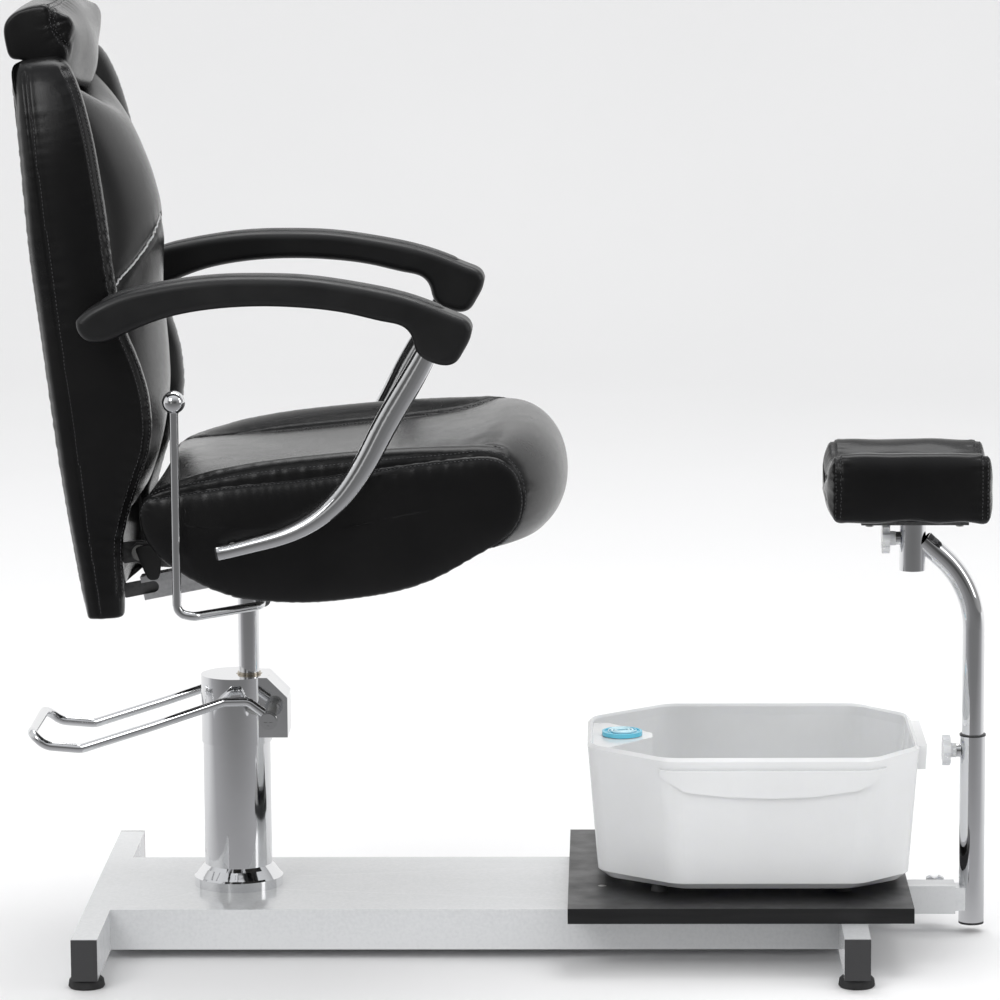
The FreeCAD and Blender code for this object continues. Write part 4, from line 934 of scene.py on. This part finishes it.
def back_side_lines():
    """Seams up both sides: "outer" along the front of the roll, "rear" near the rear."""
    lines = {}
    for side, _ in SIDES:
        s = np.arange(30, 634, 4.0)
        lines["outer", side] = back_points(
            pchip(ROLL_DEPTH, s) - 1.5, side * (pchip(HALF_WIDTH, s) - 4.0), s) / 1000.0
        s = np.arange(10, 632, 4.0)
        lines["rear", side] = back_points(
            17.0, side * (pchip(HALF_WIDTH, s) + 0.5), s) / 1000.0
    return lines


def strut_hollow(cover):
    """Hollow in the lower edge where the recline strut reaches the back."""
    centre_y, half_width, side_fade = -50.0, 36.0, 9.0
    top_s, top_fade = 58.0, 16.0
    floor_d, squeeze = 6.0, 0.04
    co = coords(cover)
    d, s = back_frame(co)
    wy = np.clip((half_width - np.abs(co[:, 1] * 1000 - centre_y)) / side_fade, 0, 1)
    ws = np.clip((top_s - s) / top_fade, 0, 1)
    weight = (wy * wy * (3 - 2 * wy)) * (ws * ws * (3 - 2 * ws))
    move = np.where(d > floor_d, (floor_d + (d - floor_d) * squeeze - d) * weight, 0)
    co[:, 0] += move * LEAN_COS / 1000.0
    co[:, 2] += move * LEAN_SIN / 1000.0
    set_coords(cover, co)


def rear_border(cover):
    """Rounded closed line a little inside the edge of the rear face."""
    s = np.arange(24, 612, 4.0)
    y = pchip(HALF_WIDTH, s) - 24
    loop = np.concatenate([
        np.stack([y, s], 1),
        np.stack([np.linspace(y[-1], -y[-1], 90)[1:-1], np.full(88, 614.0)], 1),
        np.stack([-y[::-1], s[::-1]], 1),
        np.stack([np.linspace(-y[0], y[0], 90)[1:], np.full(89, 22.0)], 1)])
    for _ in range(10):
        loop = (loop + np.roll(loop, 1, 0) + np.roll(loop, -1, 0)) / 3
    y, s = loop.T
    return on_surface(cover, back_points(pchip(REAR_DEPTH, s) - 1.0, y, s) / 1000.0)


def back_cover():
    """Cover of the back; returns its stitch runs along the sides and round the rear."""
    cover = back_cover_mesh()
    lines = back_side_lines()
    co = coords(cover)
    out = np.abs(co[:, 1])
    d, s = back_frame(co)
    # the recess below the middle cushion, the lower edge and the rear middle stay put
    fixed = ((out < 0.150) & (d > 20)) | (s < 6) | ((out < 0.04) & (d < 10))
    puff(cover, near_lines(co, lines.values(), 0.0065) | fixed, pressure=2.5, cap=0.0035)
    subdivide(cover)
    strut_hollow(cover)
    border = rear_border(cover)
    groove(cover, border, depth=0.0028, width=0.0028, pucker=0.0008, reach=0.012,
           pitch=0.021, seed=57)
    runs = []
    for (kind, side), line in lines.items():
        seam = on_surface(cover, line)
        if kind == "outer":
            groove(cover, seam, depth=0.0028, width=0.0030, pucker=0.0011, reach=0.013,
                   pitch=0.016, seed=40 + side)
            runs += both_sides(cover, seam, 0.0048)
        else:
            groove(cover, seam, depth=0.0018, width=0.0022, pucker=0.0006, reach=0.014,
                   pitch=0.022, seed=50 + side)
            runs.append((cover, seam, 0.0032 * side))
    face = np.clip((np.abs(coords(cover)[:, 1]) - 0.2) / 0.02, 0, 1)
    ripple(cover, scale=0.13, seed=61, height=0.0012, weight=0.35 + 0.65 * face)
    finish_soft(cover, "back", "back_panel", "back_side_bolsters")
    return runs, (cover, border, 0.0038)


def piping_height(y):
    return 436 - 70 * (np.clip(np.abs(y) / 150.0, 0, 1)) ** 1.12


def cushion_mesh():
    """Domed front of the middle cushion on an even grid, closed by a flat rear."""
    nu, nv = int(316 / STEP), int(500 / STEP)
    u, v = np.meshgrid(np.linspace(-1, 1, nu + 1), np.linspace(0, 1, nv + 1), indexing="ij")
    # bring the last rows closer to the rim
    u = np.sign(u) * (1 - (1 - np.abs(u)) ** 1.25)
    v = 0.5 + 0.5 * np.sign(v - 0.5) * (1 - (1 - np.abs(2 * v - 1)) ** 1.18)
    y = u * 154.0
    top = 583 + 48 * np.clip(np.abs(y) / 152.0, 0, 1) ** 1.5
    s = CUSHION_BOTTOM + v * (top - CUSHION_BOTTOM)
    edge_u = np.clip(1 - np.abs(u) ** 12, 0, 1) ** 0.5
    edge_v = np.clip(1 - np.abs(2 * v - 1) ** 24, 0, 1) ** 0.5
    recess = pchip(RECESS_DEPTH, s)
    crown = (pchip(CUSHION_DEPTH, s) - recess) * (1 - np.abs(u) ** 1.9) ** 0.92
    # the piping line between two sewn panels sits in a shallow valley
    valley = -2.6 * np.exp(-((s - piping_height(y)) / 13.0) ** 2)
    rim_d, rear_d = 36.0, 30.0
    d = rim_d + (recess + crown + valley - rim_d) * edge_u * edge_v
    front = back_points(d, y, s).reshape(-1, 3)
    rim = grid_rim(nu, nv)
    rear = back_points(rear_d, y, s).reshape(-1, 3)[rim]
    faces = grid_faces(nu, nv)
    base, n = len(front), len(rim)
    for k in range(n):
        k2 = (k + 1) % n
        faces.append((rim[k], base + k, base + k2, rim[k2]))
    for k in range(n):
        faces.append((base + k, base + n, base + (k + 1) % n))
    verts = np.concatenate([front, rear, rear.mean(0)[None, :]])
    return tidy(new_object("back_middle_cushion", verts / 1000.0, faces))


def middle_cushion():
    """Middle cushion and its piping; returns the stitch run along the piping."""
    cushion = cushion_mesh()
    y = np.linspace(-152, 152, 100)
    s = piping_height(y)
    share = (y / 152) ** 2
    d = pchip(CUSHION_DEPTH, s) * (1 - share) + pchip(RECESS_DEPTH, s) * share
    line = back_points(d, y, s) / 1000.0
    co = coords(cushion)
    pins = near_lines(co, [line], 0.006) | (back_frame(co)[0] < 42)
    puff(cushion, pins, pressure=3.0, cap=0.005)
    subdivide(cushion)
    seam = on_surface(cushion, line)
    groove(cushion, seam, depth=0.0030, width=0.0034, pucker=0.0005, reach=0.016,
           pitch=0.023, seed=70)
    ripple(cushion, scale=0.15, seed=77, height=0.0012)
    finish_soft(cushion, "back", "back_cushion")

    points, normals = closest(cushion, line)
    # the piping's light grey colour is a painted highlight along the piping ridge
    cord("back_piping", points + normals * 0.0006, np.ones(len(points)),
         radius=0.0013, material="piping", body="back")
    return cushion, seam, 0.0052


# closed outline (d, s) of the headrest pillow at the middle
PILLOW_OUTLINE = [
    (-4, 646), (-8, 662), (-8, 680), (-2, 694), (10, 701.5), (30, 704.5), (49, 702),
    (63, 692), (73, 675), (77, 652), (76, 630), (69, 608), (60, 596), (46, 602), (30, 622),
    (14, 640)]
# closing sections of the pillow: (y, growth)
PILLOW_ENDS = [(150, -0.16), (149.6, -0.08), (148, -0.03), (144, -0.006)]
# seam across each end of the pillow
PILLOW_SEAM_D = np.array([51, 50.5, 50, 51, 56, 62, 68])
PILLOW_SEAM_Y = np.array([146, 148, 149, 149, 148.5, 148, 147.0])
PILLOW_SEAM_S = np.array([703, 694, 682, 671, 660, 652, 646])


def pillow_section(y, growth):
    """Outline (d, s) of the pillow at y; its lower front edge arches up to the sides."""
    out = min(abs(y) / 148.0, 1.0)
    points = []
    for d, s in PILLOW_OUTLINE:
        front = np.clip((d - 30) / 40.0, 0, 1)
        low = np.clip((690 - s) / 70.0, 0, 1)
        height = s + 47 * out**1.5 * front * low - (2.5 * out**2 if s > 690 else 0)
        if s < 690:
            height = min(height, 702 if d < 60 else 690)
        points.append((d - 5 * out**2 * front, height))
    p = catmull(points, seg_counts(PILLOW_OUTLINE, STEP * 0.8))
    core = np.array([36.0, 668.0])
    return core + (p - core) * (1 + growth)


def headrest_pillow():
    """Headrest pillow; returns its stitch runs."""
    middle = [(y, 0.012 * (1 - (y / 140) ** 2))
              for y in np.linspace(-139, 139, int(278 / STEP))]
    rows = []
    for y, growth in with_ends(PILLOW_ENDS, middle):
        p = pillow_section(y, growth)
        rows.append(back_points(p[:, 0], y, p[:, 1]))
    pillow = loft("headrest_pillow", rows, cap_rings=5)
    lines = [back_points(PILLOW_SEAM_D, PILLOW_SEAM_Y * side, PILLOW_SEAM_S) / 1000.0
             for side, _ in SIDES]
    co = coords(pillow)
    d, s = back_frame(co)
    puff(pillow, near_lines(co, lines, 0.006) | ((s < 645) & (d < 60)),
         pressure=3.0, cap=0.006)
    subdivide(pillow)
    runs = []
    for i, line in enumerate(lines):
        seam = on_surface(pillow, line, 0.003)
        groove(pillow, seam, depth=0.0034, width=0.0030, pucker=0.0014, reach=0.012,
               pitch=0.014, seed=90 + i)
        runs += both_sides(pillow, seam, 0.0036)
    # seam along the top between the end seams
    seam, _ = closest(pillow, back_points(51.0, np.linspace(-145, 145, 60), 703.0) / 1000.0)
    groove(pillow, seam, depth=0.0022, width=0.0028, pucker=0.0007, reach=0.012,
           pitch=0.02, seed=95)
    runs += both_sides(pillow, seam, 0.0036)
    ripple(pillow, scale=0.09, seed=97, height=0.0012)
    finish_soft(pillow, "back", "headrest")
    return runs


def build_back():
    side_runs, border_run = back_cover()
    cushion_run = middle_cushion()
    pillow_runs = headrest_pillow()
    stitches("back_stitches", side_runs + pillow_runs + [cushion_run, border_run], "back")


# ------------------------------------------------------------------ leg rest pad
# closed section (y, z) of the pad, drawn on its right half
PAD_HALF = [
    (0, 569), (-26, 572), (-44, 580), (-56, 585), (-66, 584.5), (-73.5, 576), (-76.5, 560),
    (-77, 542), (-76, 522), (-73.5, 510), (-66, 504.5), (-40, 504), (0, 504.5)]
PAD_SECTION = PAD_HALF + [(-y, z) for y, z in PAD_HALF[-2:0:-1]]
PAD_REAR, PAD_FRONT = 384.0, 561.0
# closing sections at the rear and the front: (x, how far they draw in)
PAD_REAR_ENDS = [(373.5, 27), (375, 19), (377.5, 12), (380.5, 5.5), (384, 1.6)]
PAD_FRONT_ENDS = [(559.5, 1.2), (562.5, 4.5), (564.8, 10), (566.3, 18), (567.2, 27)]
PAD_SEAMS_X = (386.5, 557.5)


def pad_row(x, draw_in):
    p = closed_curve(PAD_SECTION, STEP * 0.75)
    t = (x - PAD_REAR) / (PAD_FRONT - PAD_REAR)
    core = np.stack([np.clip(p[:, 0], -45, 45), np.full(len(p), 543.0)], 1)
    v = p - core
    size = np.maximum(np.linalg.norm(v, axis=1), 1e-6)
    q = core + v * np.maximum(0.02, (size - draw_in) / size)[:, None]
    # the lower face waves a little and the top swells between the ends
    low = np.clip((520 - q[:, 1]) / 16, 0, 1)
    q[:, 1] += low * (2.4 * math.sin(t * math.pi) + 1.0 * math.sin(t * 17.0))
    high = np.clip((q[:, 1] - 560) / 20, 0, 1)
    q[:, 1] += high * 2.0 * math.sin(max(0.0, min(1.0, t)) * math.pi)
    return np.stack([np.full(len(q), x), q[:, 0], q[:, 1]], 1)


def pad_seam(x):
    """Seam round the section at x, open along the bottom."""
    p = closed_curve(PAD_SECTION, LINE_STEP)
    bottom = np.nonzero(p[:, 1] <= 506)[0]
    p = np.concatenate([p[bottom[-1] + 1:], p[:bottom[0]]])
    return np.stack([np.full(len(p), x), p[:, 0], p[:, 1]], 1) / 1000.0


def build_leg_rest():
    middle = [(x, 0.0) for x in np.arange(390, 556, STEP * 0.8)]
    rows = [pad_row(x, draw_in) for x, draw_in in PAD_REAR_ENDS + middle + PAD_FRONT_ENDS]
    pad = loft("leg_rest_pad", rows, cap_rings=5)
    lines = [pad_seam(x) for x in PAD_SEAMS_X]
    co = coords(pad)
    puff(pad, near_lines(co, lines, 0.005) | (co[:, 2] < 0.507), pressure=3.0, cap=0.0045)
    subdivide(pad)
    runs = []
    for i, line in enumerate(lines):
        seam = on_surface(pad, line, 0.003)
        groove(pad, seam, depth=0.0016, width=0.0026, pucker=0.0010, reach=0.011,
               pitch=0.013, seed=110 + i)
        runs += both_sides(pad, seam, 0.0034)
    ripple(pad, scale=0.07, seed=117, height=0.0008)
    finish_soft(pad, "foot_pad", "foot_pad")
    stitches("leg_pad_stitches", runs, "foot_pad")


# ------------------------------------------------------------------ arm rests
# line along the top of the arm pad (x from SEAT_X, z)
ARM_TOP = [(-124, 791.5), (-101, 801), (-73, 808), (-39, 814), (6, 819), (57, 820),
           (107, 818), (163, 810), (218, 798), (252, 786), (262, 781.5)]
INLAY_STEP = 3.0
INLAY_HALF_WIDTH = 14.5
INLAY_END = 14.0                   # length of each rounded end
INLAY_ACROSS = 15                  # vertices across
INLAY_THICKNESS = 0.0035           # metres
RAY_START = 9                      # height above the top line the rays start from


def arm_inlay_strip(side, name):
    """Thin grained strip laid on the top of an arm pad."""
    tree = surface_tree(NODES["arm_pad_" + name])
    line = resample(ARM_TOP, INLAY_STEP)
    nx = len(line)
    top = []
    for i, (x, z) in enumerate(line):
        from_end = min(i, nx - 1 - i) * INLAY_STEP
        round_off = 1 - (1 - min(from_end, INLAY_END) / INLAY_END) ** 2
        half = INLAY_HALF_WIDTH * min(1.0, math.sqrt(max(0.0, round_off)) + 0.02)
        for j in range(INLAY_ACROSS):
            u = -1 + 2 * j / (INLAY_ACROSS - 1)
            start = np.array([x + SEAT_X, side * ARM_Y + u * half, z + RAY_START]) / 1000.0
            hit = tree.ray_cast(Vector(start), Vector((0, 0, -1)), 0.05)[0]
            pad_z = hit.z if hit is not None else start[2] - RAY_START / 1000.0
            # thickness and crown above the pad, sinking into it at the rim
            rim = max(abs(u) ** 8, (1 - min(from_end, 8.0) / 8.0) ** 3)
            lift = 0.0017 * (1 - rim) + 0.0007 * (1 - u * u) - 0.0004 * rim
            top.append((start[0], start[1], pad_z + lift))
    top = np.array(top)
    under = len(top)
    faces = []
    for face in grid_faces(nx - 1, INLAY_ACROSS - 1):
        faces.append(face)
        faces.append(tuple(under + k for k in face[::-1]))
    rim = grid_rim(nx - 1, INLAY_ACROSS - 1)
    faces += [(a, under + a, under + b, b) for a, b in zip(rim, rim[1:] + rim[:1])]
    verts = np.concatenate([top, top - np.array([0, 0, INLAY_THICKNESS])])
    strip = tidy(new_object("arm_pad_inlay_" + name, verts, faces))
    dress(strip, "arm_inlay", "arm_pads")


# turned plug: (radius, height along its axis)
PLUG_PROFILE = [(0.5, -9), (5.9, -9), (6.1, 0.2), (7.6, 0.4), (7.9, 1.2), (7.3, 2.2),
                (0.5, 2.6)]


def arm_tube_plug(side, name):
    """Dark plug in the open lower end of an arm tube."""
    ring = 28
    centre = np.array([-322.8, side * ARM_Y, 504.5])
    axis = unit(np.array([-0.979, 0, -0.2]))
    x = unit(np.cross(axis, np.array([0, 0, 1.0])))
    y = np.cross(axis, x)
    verts = []
    for radius, height in PLUG_PROFILE:
        verts += ring_points(centre + axis * height, x, y, radius, ring)
    plug = new_object("arm_tube_plug_" + name, np.array(verts) / 1000.0,
                      stack_faces(0, len(PLUG_PROFILE), ring))
    dress(tidy(plug), "black_plastic", "arm_tubes")


# ------------------------------------------------------------------ dial and hinges
def dial_swirls():
    """Two raised spiral arms on the dial, half a turn apart."""
    count, turns = 90, 1.6
    centre_x, z = 134.0, 246.0
    inner_radius, growth = 4.0, 13.5
    angle = np.linspace(0.0, 2 * math.pi * turns, count)
    radius = inner_radius + growth * angle / angle[-1]
    from_end = np.minimum(np.arange(count), count - 1 - np.arange(count))
    for k in range(2):
        turned = angle + k * math.pi
        line = np.stack([centre_x + radius * np.cos(turned), radius * np.sin(turned),
                         np.full(count, z)], 1) / 1000.0
        cord("dial_swirl_" + str(k + 1), line, np.clip(from_end / 12.0, 0.3, 1),
             radius=0.0013, material="cyan_light", body="basin_dial")


# closed outline (world x, z) of the hinge cover
HINGE_OUTLINE = [(-425, 495), (-418, 498.5), (-408, 499.5), (-398, 498), (-395, 491),
                 (-396, 478), (-397.5, 466), (-400, 460), (-406, 458.5), (-411, 460),
                 (-416, 469), (-422, 484)]
# rounded plate from its inner to its outer face: (size, y)
HINGE_PROFILE = [(0.90, 170.2), (0.985, 170.6), (1.0, 171.4), (0.985, 172.4),
                 (0.90, 172.9), (0.6, 173.3)]


def hinge_cover(side, name):
    """Dark cover plate over a hinge end."""
    outline = closed_curve(HINGE_OUTLINE, 2.0)
    centre = outline.mean(0)
    rows = []
    for size, y in HINGE_PROFILE:
        p = centre + (outline - centre) * size
        rows.append(np.stack([p[:, 0], np.full(len(p), side * y), p[:, 1]], 1))
    dress(loft("hinge_cover_" + name, rows, cap_rings=3), "black_plastic", "seat")


# ------------------------------------------------------------------ floor, light, camera
def stage_floor_material():
    m = Material("stage_floor")
    m.tint(m.noise(0.8, detail=3), (0.86, 0.86, 0.865), (0.88, 0.88, 0.885))
    m.set(Roughness=0.55, Specular_IOR_Level=0.2)
    # mirrored in glossy pieces the floor reads darker towards the camera
    position = m.node("ShaderNodeNewGeometry").outputs["Position"]
    y = m.node("ShaderNodeSeparateXYZ", {0: position}).outputs[1]
    tone = m.ramp(m.remap(y, span=(-3.0, 1.6), low=0.0, high=1.0), [
        (0.0, (0.15, 0.15, 0.152)), (0.36, (0.19, 0.19, 0.193)), (0.60, (0.36, 0.36, 0.37)),
        (0.72, (0.70, 0.70, 0.71)), (1.0, (0.9, 0.9, 0.9))])
    glow = m.node("ShaderNodeEmission", {"Color": tone, "Strength": 1.05})
    glossy = m.node("ShaderNodeLightPath").outputs["Is Glossy Ray"]
    swap = m.node("ShaderNodeMixShader", {0: glossy, 1: m.shader.outputs[0],
                                          2: glow.outputs[0]})
    feed(m.tree, m.output, {0: swap.outputs[0]})


def build_floor():
    """Floor that sweeps up into a wall behind the chair as the camera sees it, in metres."""
    front_y, bend_y, bend_radius, wall_top, half_width = -9, 5.0, 2.5, 9, 14
    stage_floor_material()
    profile = [(front_y, 0), (bend_y, 0)]
    for a in np.linspace(0.1, math.pi / 2, 14):
        profile.append((bend_y + bend_radius * math.sin(a), bend_radius * (1 - math.cos(a))))
    profile.append((bend_y + bend_radius, wall_top))
    verts = [(x, y, z) for y, z in profile for x in (-half_width, half_width)]
    faces = [(2 * i, 2 * i + 1, 2 * i + 3, 2 * i + 2) for i in range(len(profile) - 1)]
    floor = new_object("floor", verts, faces)
    floor.data.materials.append(MATERIALS["stage_floor"])


# brightness round the horizon in reflections: (share of a turn, brightness)
HORIZON = [
    (0.0, 0.12), (0.03, 0.16), (0.06, 0.65), (0.075, 0.16), (0.12, 0.10), (0.15, 0.45),
    (0.20, 0.85), (0.30, 0.80), (0.34, 0.25), (0.37, 0.04), (0.41, 0.65), (0.50, 1.0),
    (0.58, 0.55), (0.61, 0.05), (0.66, 0.24), (0.71, 0.44), (0.80, 0.38), (0.87, 0.25),
    (0.93, 0.08), (1.0, 0.12)]


def build_world():
    """Plain white surroundings, seen as light and dark bands in glossy reflections."""
    world = bpy.data.worlds.new("studio")
    SCENE.world = world
    world.use_nodes = True
    tree = world.node_tree
    tree.nodes.clear()
    output = add_node(tree, "ShaderNodeOutputWorld")
    plain = add_node(tree, "ShaderNodeBackground", {"Color": (1, 1, 1, 1), "Strength": 0.93})
    banded = add_node(tree, "ShaderNodeBackground", {"Strength": 0.85})
    glossy = add_node(tree, "ShaderNodeLightPath").outputs["Is Glossy Ray"]
    swap = add_node(tree, "ShaderNodeMixShader",
                    {0: glossy, 1: plain.outputs[0], 2: banded.outputs[0]})
    feed(tree, output, {0: swap.outputs[0]})

    direction = add_node(tree, "ShaderNodeTexCoord").outputs["Generated"]
    x, y, z = add_node(tree, "ShaderNodeSeparateXYZ", {0: direction}).outputs
    azimuth = add_node(tree, "ShaderNodeMath", {0: x, 1: y, 2: 0.0}, operation="ARCTAN2")
    turn = add_node(tree, "ShaderNodeMath",
                    {0: azimuth.outputs[0], 1: 1 / (2 * math.pi), 2: 0.5},
                    operation="MULTIPLY_ADD")
    bands = add_ramp(tree, turn.outputs[0], greys(HORIZON))
    # the bands give way to an even light grey higher up
    height = add_node(tree, "ShaderNodeMath", {0: z, 1: 1.5, 2: -0.35},
                      operation="MULTIPLY_ADD")
    share = add_node(tree, "ShaderNodeClamp", {0: height.outputs[0]}).outputs[0]
    sky = add_node(tree, "ShaderNodeMix", {0: share, 6: bands, 7: (0.80, 0.81, 0.83, 1)},
                   data_type="RGBA")
    feed(tree, banded, {"Color": sky.outputs[2]})


def area_light(name, *, location, target, size, power):
    """Rectangular light aimed at a target."""
    light = bpy.data.lights.new(name, "AREA")
    light.energy = power
    light.shape = "RECTANGLE"
    light.size, light.size_y = size
    ob = bpy.data.objects.new(name, light)
    COLLECTION.objects.link(ob)
    ob.location = location
    ob.rotation_mode = "QUATERNION"
    aim = Vector(target) - Vector(location)
    ob.rotation_quaternion = aim.to_track_quat("-Z", "Y")


def build_lights():
    area_light("key", location=(-2.4, -3.4, 3.2), target=(0, 0, 0.5), size=(1.6, 2.0), power=42)
    area_light("fill", location=(3.4, -1.2, 2.0), target=(0, 0, 0.6), size=(1.0, 2.6), power=16)
    area_light("top", location=(0.2, 0.9, 3.8), target=(0, 0, 0.3), size=(3.0, 1.6), power=58)


def build_camera():
    """Long lens on the right side of the chair, swung a little round the vertical axis."""
    orbit = math.radians(1.25)
    x, y, z = 0.003, -5.4634, 1.3749            # place before the swing, metres
    yaw, pitch, roll = 0.0012 + orbit, 0.1545, -0.0065
    data = bpy.data.cameras.new("camera")
    camera = bpy.data.objects.new("camera", data)
    COLLECTION.objects.link(camera)
    data.sensor_width = 36.0
    data.lens = 168.2136
    data.shift_x = -0.00526
    data.clip_start, data.clip_end = 0.05, 60
    camera.location = (x * math.cos(orbit) - y * math.sin(orbit),
                       x * math.sin(orbit) + y * math.cos(orbit), z)
    forward = Vector((-math.sin(yaw) * math.cos(pitch), math.cos(yaw) * math.cos(pitch),
                      -math.sin(pitch)))
    camera.rotation_mode = "QUATERNION"
    camera.rotation_quaternion = (forward.to_track_quat("-Z", "Y")
                                  @ Quaternion((0, 0, 1), roll))
    SCENE.camera = camera


# ------------------------------------------------------------------ build
make_materials()
paint_cad_pieces()
build_seat()
build_back()
build_leg_rest()
for build_pair in (arm_inlay_strip, arm_tube_plug):
    for side, name in SIDES:
        build_pair(side, name)
dial_swirls()
for side, name in SIDES:
    hinge_cover(side, name)
build_floor()
build_world()
build_lights()
build_camera()

# the Standard view is missing from some colour configurations; the default then stays
try:
    SCENE.view_settings.view_transform = "Standard"
except TypeError:
    pass
